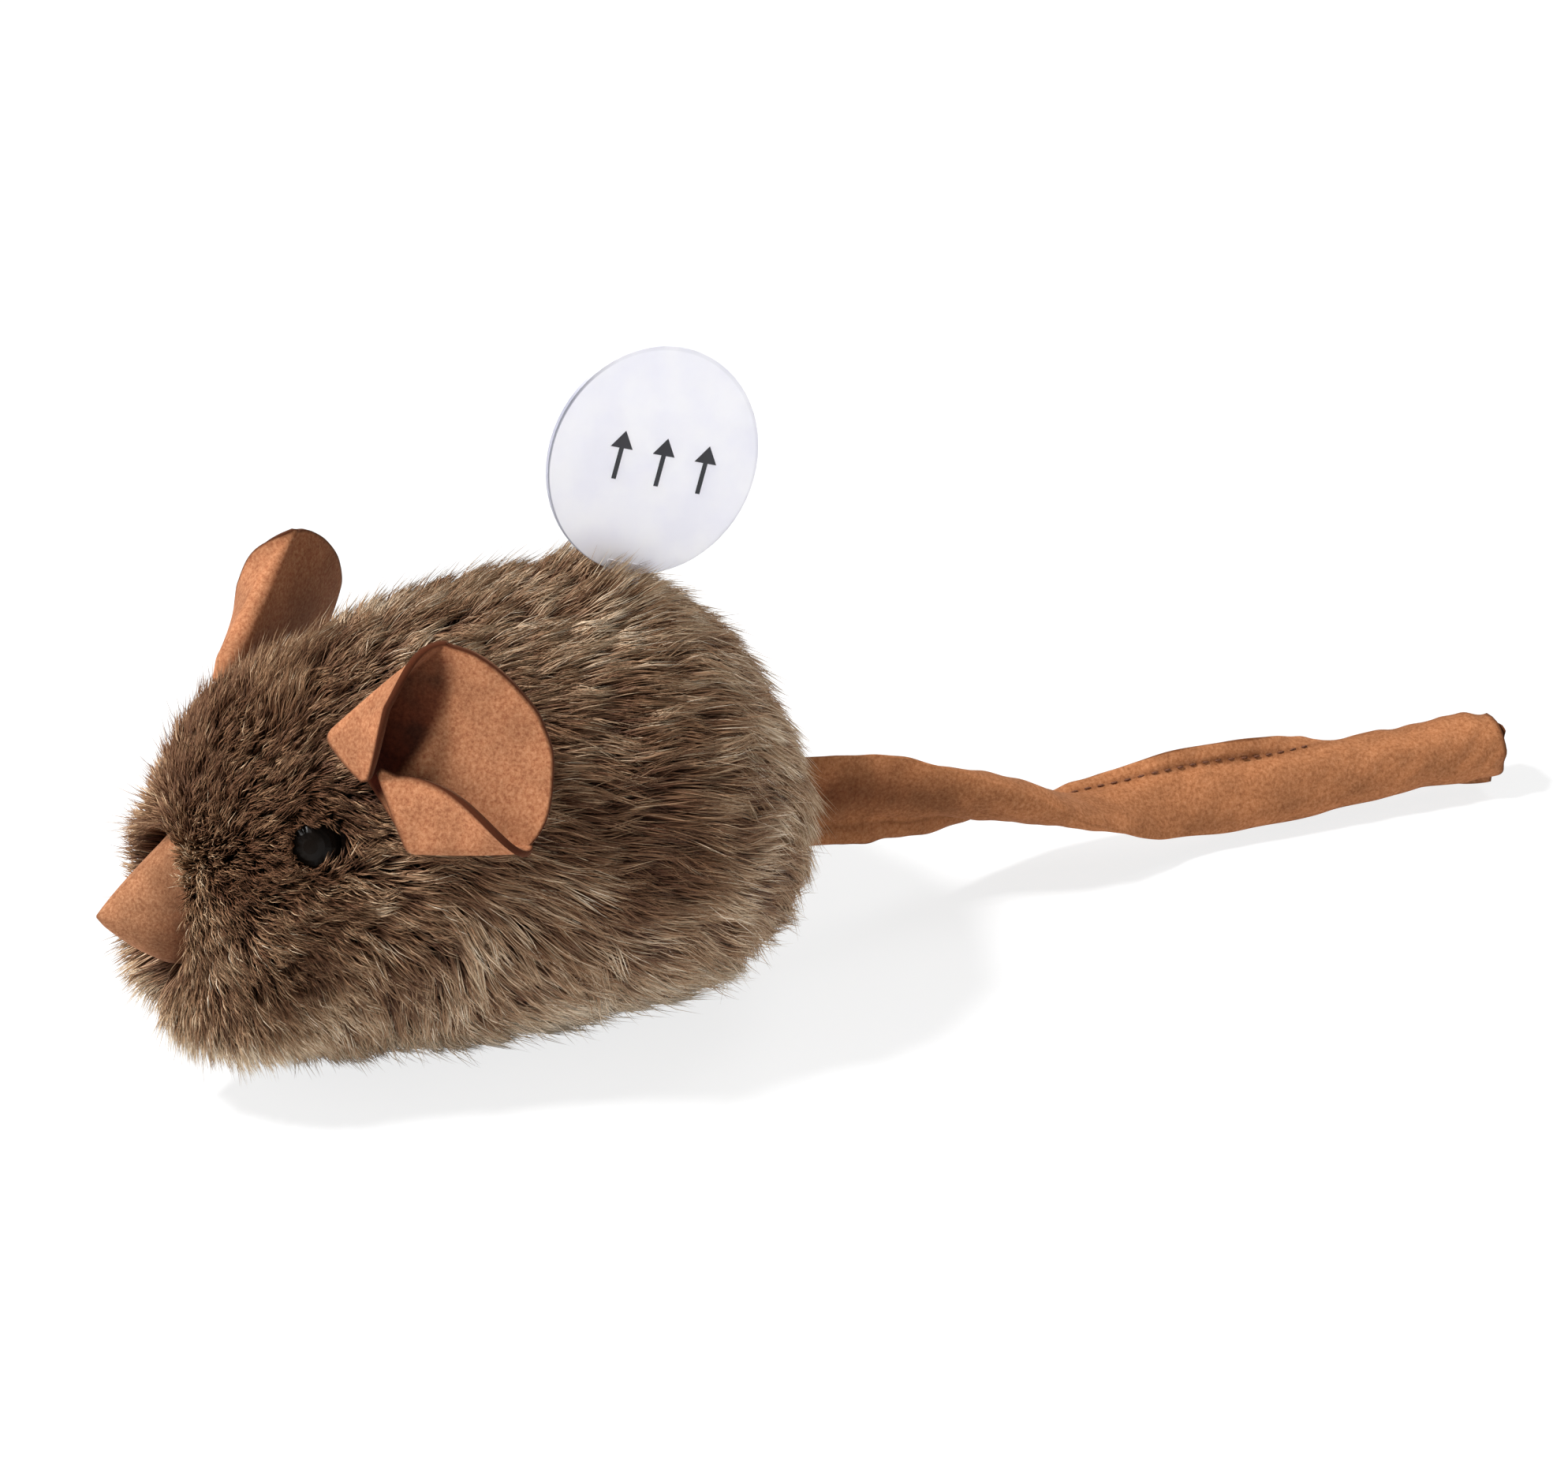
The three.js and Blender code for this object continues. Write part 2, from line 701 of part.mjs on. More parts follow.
const boardEdgeRadius = moduleBore - seatGap;
const boardBackY = cellShiftY - cellRadius - 2 * seatGap - ribThickness;

// Place on the circuit board: sideways from its middle, and from its back edge to its round one
function boardPlace(sideShare, depthShare) {
  return [boardHalfWidth * sideShare, lerp(boardBackY, -boardEdgeRadius, depthShare)];
}

const chipY = boardPlace(0, chipShare)[1];
const canY = boardPlace(0, canShare)[1];

// Cup of the module: sounder ring, cell cradle, contact ribs, board posts and screw bosses
function moduleBase() {
  const into = moduleFloor / 2;
  const cup = turned([[0, moduleBottom], [moduleRadius, moduleBottom], [moduleRadius, cupTop],
    [moduleBore, cupTop], [moduleBore, floorTop], [0, floorTop]], 2 * roundSteps - 16);
  const arch = post(sounderShiftX, sounderShiftY, brassRadius + 2 * sounderLap,
    floorTop, floorTop + archHeight, roundSteps);
  const cradle = [-1, 1].map((side) => {
    const inner = cellShiftY + side * (cellRadius + seatGap);
    const outer = inner + side * ribThickness;
    return cut(block(
      [stackStart, Math.min(inner, outer), floorTop - into],
      [stackEnd, Math.max(inner, outer), floorTop + cradleHeight],
    ), arch);
  });
  const ribHalf = contactWidth / 2;
  const contactRib = (x0, x1) => block(
    [x0, cellShiftY - ribHalf, floorTop - into],
    [x1, cellShiftY + ribHalf, floorTop + ribHeight],
  );
  const plusFace = stackEnd + contactThickness + 2 * seatGap;
  const minusFace = stackStart - contactThickness - contactBow - 2 * seatGap;
  const ring = cut(
    post(sounderShiftX, sounderShiftY, brassRadius + sounderLap, floorTop - into,
      floorTop + sounderRingHeight, roundSteps),
    post(sounderShiftX, sounderShiftY, brassRadius + sounderLap - sounderRingWidth, moduleBottom,
      floorTop + overrun, roundSteps),
  );
  const bosses = bossPlaces().map(([x, y]) => post(x, y, bossRadius, floorTop - into, cupTop));
  const posts = boardPostShares.map(([side, deep]) => (
    post(...boardPlace(side, deep), boardPostRadius, floorTop - into, boardHeight - seatGap)));
  const outside = cut(
    post(0, 0, moduleRadius + overrun + bossRadius, moduleBottom, moduleTop, roundSteps),
    post(0, 0, moduleRadius - moduleWall / 2, moduleBottom - overrun, moduleTop + overrun, roundSteps),
  );
  const fittings = cut(
    joined(...cradle, ring, ...bosses, ...posts,
      contactRib(plusFace, plusFace + ribThickness),
      contactRib(-moduleBore, minusFace)),
    outside,
  );
  const bores = bossPlaces().map(([x, y]) => (
    post(x, y, bossBoreRadius, cupTop - bossBoreDepth, cupTop + overrun)));
  const holes = [[0, 0]];
  for (let index = 0; index < soundHoleCount; index += 1) {
    const turn = (2 * Math.PI * index) / soundHoleCount;
    holes.push([soundHoleReach * Math.cos(turn), soundHoleReach * Math.sin(turn)]);
  }
  const [holeBottom, holeTop] = [moduleBottom - overrun, floorTop + overrun];
  const soundHoles = holes.map(([x, y]) => (
    post(sounderShiftX + x, sounderShiftY + y, soundHoleRadius, holeBottom, holeTop)));
  return cut(joined(cup, fittings), ...bores, ...soundHoles);
}

function moduleLid() {
  const rimRadius = moduleBore - seatGap;
  const plate = post(0, 0, moduleRadius, lidBottom, moduleTop, 2 * roundSteps - 16);
  const rim = cut(
    post(0, 0, rimRadius, lidBottom - lidRimDepth, lidBottom + lidThickness / 2, roundSteps),
    post(0, 0, rimRadius - lidRimWall, lidBottom - overrun, lidBottom, roundSteps),
    ...bossPlaces().map(([x, y]) => post(x, y, bossRadius + seatGap, lidBottom - overrun, lidBottom)),
  );
  const holes = bossPlaces().map(([x, y]) => (
    post(x, y, bossBoreRadius, lidBottom - overrun, moduleTop + overrun)));
  const pockets = bossPlaces().map(([x, y]) => (
    post(x, y, screwPocketRadius, moduleTop - screwHeadHeight, moduleTop + overrun)));
  const slot = block(
    [-tabThickness / 2 - seatGap, cellShiftY - tabStripWidth / 2 - seatGap, lidBottom - overrun],
    [tabThickness / 2 + seatGap, cellShiftY + tabStripWidth / 2 + seatGap, moduleTop + overrun],
  );
  return cut(joined(plate, rim), ...holes, ...pockets, slot);
}

function screw([x, y]) {
  const seat = moduleTop - screwHeadHeight + seatGap;
  const head = seat + screwHeadHeight;
  const body = turned([[0, seat - screwLength], [screwShankRadius / 2, seat - screwLength],
    [screwShankRadius, seat - screwLength + screwShankRadius], [screwShankRadius, seat],
    [screwHeadRadius, seat], [screwHeadRadius, head - screwHeadHeight / 2],
    [screwHeadRadius * 0.6, head], [0, head]], smallSteps);
  const arm = screwHeadRadius * 0.7;
  const half = screwSlotWidth / 2;
  const floor = head - screwSlotDepth;
  return cut(
    body,
    block([-arm, -half, floor], [arm, half, head + overrun]),
    block([-half, -arm, floor], [half, arm, head + overrun]),
  ).translate(x, y, 0);
}

// Cell lying on its side, its cap towards the negative contact
function buttonCell(start) {
  const edge = cellCapHeight / 2;
  const cell = turned([[0, 0], [cellCapRadius, 0], [cellCapRadius, cellCapHeight],
    [cellRadius - edge, cellCapHeight], [cellRadius, cellCapHeight + edge],
    [cellRadius, cellThickness - edge], [cellRadius - edge, cellThickness], [0, cellThickness]]);
  return cell.rotateY(Math.PI / 2).translate(start, cellShiftY, cellShiftZ);
}

// Flat contact with a tail that lies over the board's edge
function plusContact() {
  const x0 = stackEnd + seatGap;
  const x1 = x0 + contactThickness;
  const halfWide = contactWidth / 2;
  const halfHigh = contactHeight / 2;
  const plate = block(
    [x0, cellShiftY - halfWide, contactMiddleZ - halfHigh],
    [x1, cellShiftY + halfWide, contactMiddleZ + halfHigh],
  );
  const tailBottom = boardHeight + boardThickness + seatGap;
  const solderTail = block(
    [x0, cellShiftY - halfWide - contactTail, tailBottom],
    [x1, cellShiftY, tailBottom + contactTailHeight],
  );
  return joined(plate, solderTail);
}

// Contact whose middle bows out as a leaf spring against the cell's cap
function minusContact() {
  const back = stackStart - seatGap - contactBow - contactThickness;
  const halfWide = contactWidth / 2;
  const shape = new THREE.Shape();
  shape.moveTo(back, -halfWide);
  shape.quadraticCurveTo(back + 2 * contactBow, 0, back, halfWide);
  shape.lineTo(back + contactThickness, halfWide);
  const front = back + contactThickness;
  shape.quadraticCurveTo(front + 2 * contactBow, 0, front, -halfWide);
  const bottom = contactMiddleZ - contactHeight / 2;
  return extruded(shape, contactHeight).translate(0, cellShiftY, bottom);
}

function circuitBoard() {
  const corner = Math.acos(boardHalfWidth / boardEdgeRadius);
  const shape = new THREE.Shape();
  shape.moveTo(-boardHalfWidth, boardBackY);
  shape.absarc(0, 0, boardEdgeRadius, Math.PI + corner, 2 * Math.PI - corner, false);
  shape.lineTo(boardHalfWidth, boardBackY);
  return extruded(shape, boardThickness).translate(0, 0, boardHeight);
}

function soundChip() {
  const steps = 4;
  const top = boardHeight - seatGap;
  const profile = [[0, 0]];
  for (let index = steps; index > 0; index -= 1) {
    const turn = (Math.PI * (steps - index)) / (2 * steps);
    profile.push([chipRadius * Math.cos(turn), chipHeight * Math.sin(turn)]);
  }
  profile.push([0, chipHeight]);
  return turned(profile, roundSteps - 12).rotateX(Math.PI).translate(0, chipY, top);
}

const boardTop = boardHeight + boardThickness;
const canZ = boardTop + seatGap + canRadius;
const plugEnd = -canLength / 2 + plugLength;
const coilStart = plugEnd + seatGap;

// Lays a turned piece of the switch along X, its foot at the plugged end
function inSwitch(geometry) {
  return geometry.rotateY(Math.PI / 2).translate(0, canY, canZ);
}

function switchCan() {
  const bore = canRadius - canWall;
  const half = canLength / 2;
  return inSwitch(turned([[bore, -half], [canRadius, -half], [canRadius, half], [0, half],
    [0, half - canWall], [bore, half - canWall], [bore, -half]], smallSteps + 4));
}

function switchPlug() {
  return inSwitch(turned([[0, -canLength / 2], [canRadius - canWall - seatGap, -canLength / 2],
    [canRadius - canWall - seatGap, plugEnd], [0, plugEnd]], smallSteps));
}

function switchPin() {
  const end = coilStart + pinLength;
  return inSwitch(turned([[0, coilStart], [pinRadius, coilStart], [pinRadius, end - pinRadius],
    [0, end]], smallSteps - 4));
}

class Helix extends THREE.Curve {
  getPoint(share, target = new THREE.Vector3()) {
    const turn = 2 * Math.PI * coilTurns * share;
    return target.set(
      coilStart + coilWireRadius + (coilLength - 2 * coilWireRadius) * share,
      canY + coilRadius * Math.cos(turn),
      canZ + coilRadius * Math.sin(turn),
    );
  }
}

function tubeAlong(path, radius, steps, sides) {
  const section = new THREE.Shape();
  for (let index = 0; index < sides; index += 1) {
    const turn = (2 * Math.PI * index) / sides;
    const [x, y] = [radius * Math.cos(turn), radius * Math.sin(turn)];
    if (index === 0) {
      section.moveTo(x, y);
    } else {
      section.lineTo(x, y);
    }
  }
  return new THREE.ExtrudeGeometry(section, { steps, extrudePath: path, bevelEnabled: false });
}

function switchSpring() {
  return tubeAlong(new Helix(), coilWireRadius, 8 * coilTurns, 5);
}

const sounderTop = floorTop + sounderRingHeight + seatGap + brassThickness;
const ceramicTop = sounderTop + seatGap + ceramicThickness;
const wireRoutes = {
  sounder_wire_red: [[1.5, -3.4, ceramicTop + wireRadius], [1.6, -5.1, -4.5], [2.6, -8.4, -4.3],
    [4.4, -9.8, -3.6], [4.7, -10.2, boardHeight - seatGap]],
  sounder_wire_black: [[-5.6, -3.6, -5.2], [-5.5, -5.1, -4.6], [-5, -8, -4.2],
    [-4.5, -10, -3.4], [-4.4, -10.4, boardHeight - seatGap]],
  cell_wire: [[-12.4, -2.1, 3.2], [-12.2, -3.9, 3.4], [-11.2, -4.8, 3.6], [-9, -5, 3.2],
    [-6.4, -6, 2], [-5.6, -6.8, boardTop + seatGap]],
};

function wire(name) {
  const points = wireRoutes[name].map(([x, y, z]) => new THREE.Vector3(x, y, z));
  return tubeAlong(new THREE.CatmullRomCurve3(points), wireRadius, 14, 8);
}

const finishes = {
  fur: { color: '#7d6a58', roughness: 0.95, metalness: 0 },
  fibre: { color: '#ecebe6', roughness: 0.95, metalness: 0 },
  suede: { color: '#b5764c', roughness: 0.9, metalness: 0 },
  eye: { color: '#14100e', roughness: 0.15, metalness: 0 },
  film: { color: '#f3f3f8', roughness: 0.35, metalness: 0 },
  housing: { color: '#e8e6df', roughness: 0.45, metalness: 0 },
  steel: { color: '#b9bcc0', roughness: 0.3, metalness: 1 },
  brass: { color: '#c9a24a', roughness: 0.35, metalness: 1 },
  ceramic: { color: '#e9e7dc', roughness: 0.5, metalness: 0 },
  board: { color: '#2f6b3c', roughness: 0.5, metalness: 0 },
  resin: { color: '#17181a', roughness: 0.4, metalness: 0 },
  redWire: { color: '#b3261e', roughness: 0.5, metalness: 0 },
  blackWire: { color: '#1c1c1e', roughness: 0.5, metalness: 0 },
};

const mouse = new THREE.Group();
const module = new THREE.Group();
module.applyMatrix4(moduleMatrix);
const tab = new THREE.Group();
tab.applyMatrix4(tabMatrix);
mouse.add(module, tab);

function add(group, name, geometry, finish) {
  const mesh = new THREE.Mesh(geometry, new THREE.MeshStandardMaterial(finishes[finish]));
  mesh.name = name;
  group.add(mesh);
}

add(mouse, 'left_fur_panel', sidePanel(1), 'fur');
add(mouse, 'right_fur_panel', sidePanel(-1), 'fur');
add(mouse, 'belly_gusset', bellyGusset(), 'fur');
add(mouse, 'fibre_filling', filling(), 'fibre');
add(mouse, 'suede_nose', nose(), 'suede');
add(mouse, 'left_ear', ear(earForms.left), 'suede');
add(mouse, 'right_ear', mirrored(ear(earForms.right)), 'suede');
for (const [side, sign] of [['left', 1], ['right', -1]]) {
  add(mouse, `${side}_eye`, onEye(eye(), sign), 'eye');
  add(mouse, `${side}_eye_washer`, onEye(eyeWasher(), sign), 'housing');
}
add(mouse, 'suede_tail', tail(), 'suede');
add(tab, 'battery_isolator_tab', pullTab(), 'film');

add(module, 'module_base', moduleBase(), 'housing');
add(module, 'module_lid', moduleLid(), 'housing');
bossPlaces().forEach((place, index) => add(module, `lid_screw_${index + 1}`, screw(place), 'steel'));
add(module, 'sounder_brass', post(sounderShiftX, sounderShiftY, brassRadius,
  sounderTop - brassThickness, sounderTop, roundSteps), 'brass');
add(module, 'sounder_ceramic', post(sounderShiftX, sounderShiftY, ceramicRadius,
  ceramicTop - ceramicThickness, ceramicTop, roundSteps - 8), 'ceramic');
cellStarts.forEach((start, index) => add(module, `button_cell_${index + 1}`, buttonCell(start), 'steel'));
add(module, 'plus_contact', plusContact(), 'steel');
add(module, 'minus_contact', minusContact(), 'steel');
add(module, 'circuit_board', circuitBoard(), 'board');
add(module, 'sound_chip', soundChip(), 'resin');
add(module, 'shake_switch_can', switchCan(), 'brass');
add(module, 'shake_switch_plug', switchPlug(), 'resin');
add(module, 'shake_switch_pin', switchPin(), 'brass');
add(module, 'shake_switch_spring', switchSpring(), 'steel');
add(module, 'sounder_wire_red', wire('sounder_wire_red'), 'redWire');
add(module, 'sounder_wire_black', wire('sounder_wire_black'), 'blackWire');
add(module, 'cell_wire', wire('cell_wire'), 'blackWire');

export default mouse;
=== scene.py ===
# Looks of a soft toy mouse: fur, suede, thread, black buttons and a film pull tab,
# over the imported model. Lengths are in millimetres until a mesh is made, then metres.
import math
from types import SimpleNamespace

import bmesh
import bpy
import numpy as np
from mathutils import Matrix, Vector
from mathutils.bvhtree import BVHTree
from mathutils.kdtree import KDTree


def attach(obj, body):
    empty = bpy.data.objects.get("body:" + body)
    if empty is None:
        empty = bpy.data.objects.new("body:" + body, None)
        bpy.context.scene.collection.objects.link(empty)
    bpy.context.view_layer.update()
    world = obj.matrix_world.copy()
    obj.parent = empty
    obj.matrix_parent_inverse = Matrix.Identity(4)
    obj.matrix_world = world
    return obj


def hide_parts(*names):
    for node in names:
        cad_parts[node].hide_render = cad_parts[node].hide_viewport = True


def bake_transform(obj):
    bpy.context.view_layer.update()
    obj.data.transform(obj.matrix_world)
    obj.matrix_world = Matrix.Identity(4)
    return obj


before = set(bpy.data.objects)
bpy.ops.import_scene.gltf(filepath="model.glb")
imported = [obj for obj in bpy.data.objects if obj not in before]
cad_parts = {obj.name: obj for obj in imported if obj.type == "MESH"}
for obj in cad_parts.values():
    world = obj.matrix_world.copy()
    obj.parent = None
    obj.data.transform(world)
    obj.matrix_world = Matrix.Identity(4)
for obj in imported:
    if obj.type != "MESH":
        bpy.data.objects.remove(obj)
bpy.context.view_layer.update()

MM = 0.001
rng = np.random.default_rng(20)

# The camera: where the photograph was taken from, worked out from the toy's outline
CAMERA_TURN = math.radians(66)
CAMERA_RISE = math.radians(30)
CAMERA_REACH = 700
CAMERA_AIM = np.array([0, 36.0, 25.9])
PICTURE_WIDTH = 1988
PIXELS_PER_MM = 11.55
SENSOR_WIDTH = 36

# The body, as the solids have it
BODY_LENGTH = 75.5
BODY_HALF_WIDTH = 26
BODY_HEIGHT = 51
REST_SHARE = 0.497
FUR_DEPTH = 5
BELLY_FUR_DEPTH = 3.5
BODY_SHARES = np.array([
    [0, 0.23, 0.612, 0.27],
    [0.06, 0.47, 0.773, 0.12],
    [0.16, 0.65, 0.884, 0.03],
    [0.3, 0.8, 0.968, -0.014],
    [0.45, 0.915, 1, -0.026],
    [0.6, 0.99, 1, -0.026],
    [0.75, 0.99, 0.973, -0.01],
    [0.88, 0.78, 0.822, 0.07],
    [0.96, 0.44, 0.588, 0.19],
    [1, 0.08, 0.357, 0.32],
])
GUSSET_ENDS = (0.05, 0.93)
GUSSET_HALF_ANGLE = 44

# The pull tab, as the solids have it
TAB_LEAN = math.radians(22)
TAB_TILT = math.radians(10.4)
TAB_PLACE = 0.726
TAB_RISE = 1.1
TAB_DISC_MIDDLE = 11.9
TAB_DISC_RADIUS = 12.5


def smooth_column(table, place, column=1):
    """Smooth values of one column of a table whose first column is the place."""
    place = np.asarray(place, float)
    steps = np.diff(table[:, 0])
    slopes = np.diff(table[:, column]) / steps
    product = slopes[:-1] * slopes[1:]
    total = slopes[:-1] + slopes[1:]
    inner = np.where(product > 0, 2 * product / np.where(total == 0, 1, total), 0)
    tangents = np.concatenate([slopes[:1], inner, slopes[-1:]])
    row = np.clip(np.searchsorted(table[:, 0], place, side="left") - 1, 0, len(steps) - 1)
    share = (place - table[row, 0]) / steps[row]
    square, cube = share ** 2, share ** 3
    return (table[row, column] * (2 * cube - 3 * square + 1)
            + tangents[row] * steps[row] * (cube - 2 * square + share)
            + table[row + 1, column] * (3 * square - 2 * cube)
            + tangents[row + 1] * steps[row] * (cube - square))


def body_points(place, angle, depth=0.0):
    """Points of the body: share of its length, degrees from the top to the left, depth in the fur."""
    place, angle, depth = np.broadcast_arrays(*(np.asarray(v, float) for v in (place, angle, depth)))
    half_width = smooth_column(BODY_SHARES, place, 1) * BODY_HALF_WIDTH
    top = smooth_column(BODY_SHARES, place, 2) * BODY_HEIGHT
    under = smooth_column(BODY_SHARES, place, 3) * BODY_HEIGHT
    turn = np.radians(angle)
    middle = (top + under) / 2
    x = half_width * np.sin(turn) * (1 - depth / BODY_HALF_WIDTH)
    centre_y = (0.5 - REST_SHARE) * BODY_LENGTH
    y = (place - REST_SHARE) * BODY_LENGTH
    y = centre_y + (y - centre_y) * (1 - 2 * depth / BODY_LENGTH)
    centre_z = BODY_HEIGHT / 2
    z = middle + (top - middle) * np.cos(turn)
    z = centre_z + (z - centre_z) * (1 - 2 * depth / BODY_HEIGHT)
    z = np.maximum(z, depth / FUR_DEPTH * BELLY_FUR_DEPTH)
    return np.stack([x, y, z], -1)


def unit(vectors):
    return vectors / np.maximum(np.linalg.norm(vectors, axis=-1, keepdims=True), 1e-9)


def body_steps(place, angle, step, turn):
    """How the surface runs along and around the body, from a step before a place to one behind."""
    along = body_points(np.minimum(place + step, 1), angle) - body_points(np.maximum(place - step, 0), angle)
    return along, body_points(place, angle + turn) - body_points(place, angle - turn)


def body_normals(place, angle):
    along, around = body_steps(place, angle, 0.004, 0.5)
    return unit(np.cross(around, along))


def soft_step(value):
    """Rises from 0 to 1 with no kink at either end."""
    value = np.clip(value, 0, 1)
    return value * value * (3 - 2 * value)


def bell(gap, reach, power=2):
    """1 where there is no gap, falling to nothing beyond this reach."""
    return np.exp(-(gap / reach) ** power)


def nearness(points, centre, reach):
    return np.exp(-np.sum((points - centre) ** 2, 1) / reach ** 2)


def fullness(points):
    """How much further than the solids the pile stands on the face, in mm: thickest on the chin,
    less on cheeks and brow, and drawn in along the seam."""
    front = soft_step((-26 - points[:, 1]) / 8)
    x, z = np.abs(points[:, 0]), points[:, 2]
    chin = CHIN_FULLNESS * bell(z - 12, 5.5)
    cheek = CHEEK_FULLNESS * bell(z - 23, 6) * soft_step((x - 1) / 4)
    brow = BROW_FULLNESS * np.exp(-np.sum(((points - BROW_POINT) / (9, 8, 8)) ** 2, 1))
    seam = front_seam(points) * bell(x, 1.6)
    return front * (chin + cheek) * (1 - 0.55 * seam) + brow


def front_seam(points):
    """How much of the face's seam runs here, from the nose down to the belly."""
    return soft_step((-24 - points[:, 1]) / 6) * soft_step((23 - points[:, 2]) / 5)


CHIN_FULLNESS, CHEEK_FULLNESS, BROW_FULLNESS = 4.7, 1.7, 2.5
BROW_POINT = body_points(0.11, 0)
TAB_NECK = body_points(TAB_PLACE, 0) + np.array([0, 0, TAB_RISE])
TAB_DISC_CENTRE = TAB_NECK + TAB_DISC_MIDDLE * np.array([0, math.sin(TAB_LEAN), math.cos(TAB_LEAN)])


# Materials

def linear(code):
    """An sRGB hex colour as linear RGBA."""
    parts = [int(code[i:i + 2], 16) / 255 for i in (1, 3, 5)]
    return [p / 12.92 if p <= 0.04045 else ((p + 0.055) / 1.055) ** 2.4 for p in parts] + [1.0]


def add(tree, kind, links=None, **settings):
    """Adds a shader node; links maps its inputs to values or to other nodes' outputs."""
    made = tree.nodes.new("ShaderNode" + kind)
    for name, value in settings.items():
        setattr(made, name, value)
    for socket, value in (links or {}).items():
        if isinstance(value, bpy.types.NodeSocket):
            tree.links.new(value, made.inputs[socket])
        else:
            made.inputs[socket].default_value = value
    return made


def blank(name):
    made = bpy.data.materials.new(name)
    made.use_nodes = True
    made.node_tree.nodes.clear()
    return made, made.node_tree


def patterned(name):
    """A blank material, with the place on the piece that its patterns read."""
    made, tree = blank(name)
    return made, tree, add(tree, "TexCoord").outputs["Object"]


def shade(tree, **sockets):
    """A Principled shader joined to the output; names are its sockets with _ for spaces."""
    links = {name.replace("_", " "): value for name, value in sockets.items()}
    shader = add(tree, "BsdfPrincipled", links)
    add(tree, "OutputMaterial", {"Surface": shader.outputs["BSDF"]})


def ramp(tree, value, stops):
    made = add(tree, "ValToRGB", {"Fac": value})
    while len(made.color_ramp.elements) < len(stops):
        made.color_ramp.elements.new(0.5)
    for element, (place, colour) in zip(made.color_ramp.elements, stops):
        element.position = place
        element.color = linear(colour) if isinstance(colour, str) else [colour] * 3 + [1]
    return made.outputs["Color"]


MIX_FIRST, MIX_SECOND, MIX_RESULT = 6, 7, 2


def mix(tree, share, first, second, blend="MIX"):
    """The mix of two colours: sockets 6 and 7 are its colour inputs and 2 its colour output."""
    links = {"Factor": share, MIX_FIRST: first, MIX_SECOND: second}
    return add(tree, "Mix", links, data_type="RGBA", blend_type=blend).outputs[MIX_RESULT]


def sized(place, size, **more):
    """The links of a pattern with features of this size in millimetres, as a place is in metres."""
    return {"Vector": place, "Scale": 1 / (size * MM), **more}


HANDLED_SIZE = 4.5


def suede(name, base, pale, dark, edge, nap_size=0.4):
    """Microfibre suede: brushed on one side, so it is matt, speckled by its nap and brightest
    where the nap catches light at a slant. Its cut edges show the darker dyed core."""
    made, tree, place = patterned(name)
    nap = add(tree, "TexNoise", sized(place, nap_size, Detail=3.0, Roughness=0.7))
    handled = add(tree, "TexNoise", sized(place, HANDLED_SIZE, Detail=3.0, Roughness=0.6))
    colour = ramp(tree, nap.outputs["Fac"], [(0.3, dark), (0.5, base), (0.7, pale)])
    shadow = ramp(tree, handled.outputs["Fac"], [(0.36, 0.8), (0.6, 1.0)])
    colour = mix(tree, 1.0, colour, shadow, "MULTIPLY")
    # Painted shade and wear: where a piece marks it, the colour is darkened by a mottled tint
    painted_shade_and_wear = add(tree, "Attribute", attribute_name="painted_shade_and_wear").outputs["Fac"]
    shade_and_wear_tint = ramp(tree, handled.outputs["Fac"], [(0.32, "#3e1508"), (0.62, "#683a26")])
    colour = mix(tree, painted_shade_and_wear, colour, mix(tree, 1.0, colour, shade_and_wear_tint, "MULTIPLY"))
    rim = add(tree, "Attribute", attribute_name="rim").outputs["Fac"]
    colour = mix(tree, rim, colour, linear(edge))
    bump = add(tree, "Bump", {"Height": nap.outputs["Fac"], "Strength": 0.45, "Distance": 0.14 * MM})
    shade(tree, Base_Color=colour, Normal=bump.outputs["Normal"], Roughness=0.95,
          Specular_IOR_Level=0.1, Sheen_Weight=0.12, Sheen_Roughness=0.5, Sheen_Tint=linear("#d8a07a"))
    return made


def fur_pile(name, roots, shaft, tips, tip_from):
    """Acrylic pile: each hair is dark at its root and pale at its tip, in a mix of shades.
    The hair's own map holds its shade across and the place along it upwards."""
    made, tree = blank(name)
    where = add(tree, "UVMap", uv_map="OFBake").outputs["UV"]
    split = add(tree, "SeparateXYZ", {"Vector": where})
    tint, along = split.outputs["X"], split.outputs["Y"]
    middle = ramp(tree, tint, shaft)
    end = ramp(tree, tint, tips)
    colour = mix(tree, ramp(tree, along, [(0.2, 0.0), (0.62, 1.0)]), linear(roots), middle)
    colour = mix(tree, ramp(tree, along, [(tip_from, 0.0), (1.0, 1.0)]), colour, end)
    shade(tree, Base_Color=colour, Roughness=0.62, Specular_IOR_Level=0.25)
    return made


def moulded(name, colour, shade_colour, grain, roughness, **more):
    """Moulded plastic: even, with a slight drift of colour and the grain of its mould."""
    made, tree, place = patterned(name)
    drift = add(tree, "TexNoise", sized(place, 6, Detail=2.0))
    fine = add(tree, "TexNoise", sized(place, grain, Detail=2.0))
    paint = ramp(tree, drift.outputs["Fac"], [(0.35, shade_colour), (0.65, colour)])
    bump = add(tree, "Bump", {"Height": fine.outputs["Fac"], "Strength": 0.12, "Distance": 0.05 * MM})
    shade(tree, Base_Color=paint, Normal=bump.outputs["Normal"], Roughness=roughness, **more)
    return made


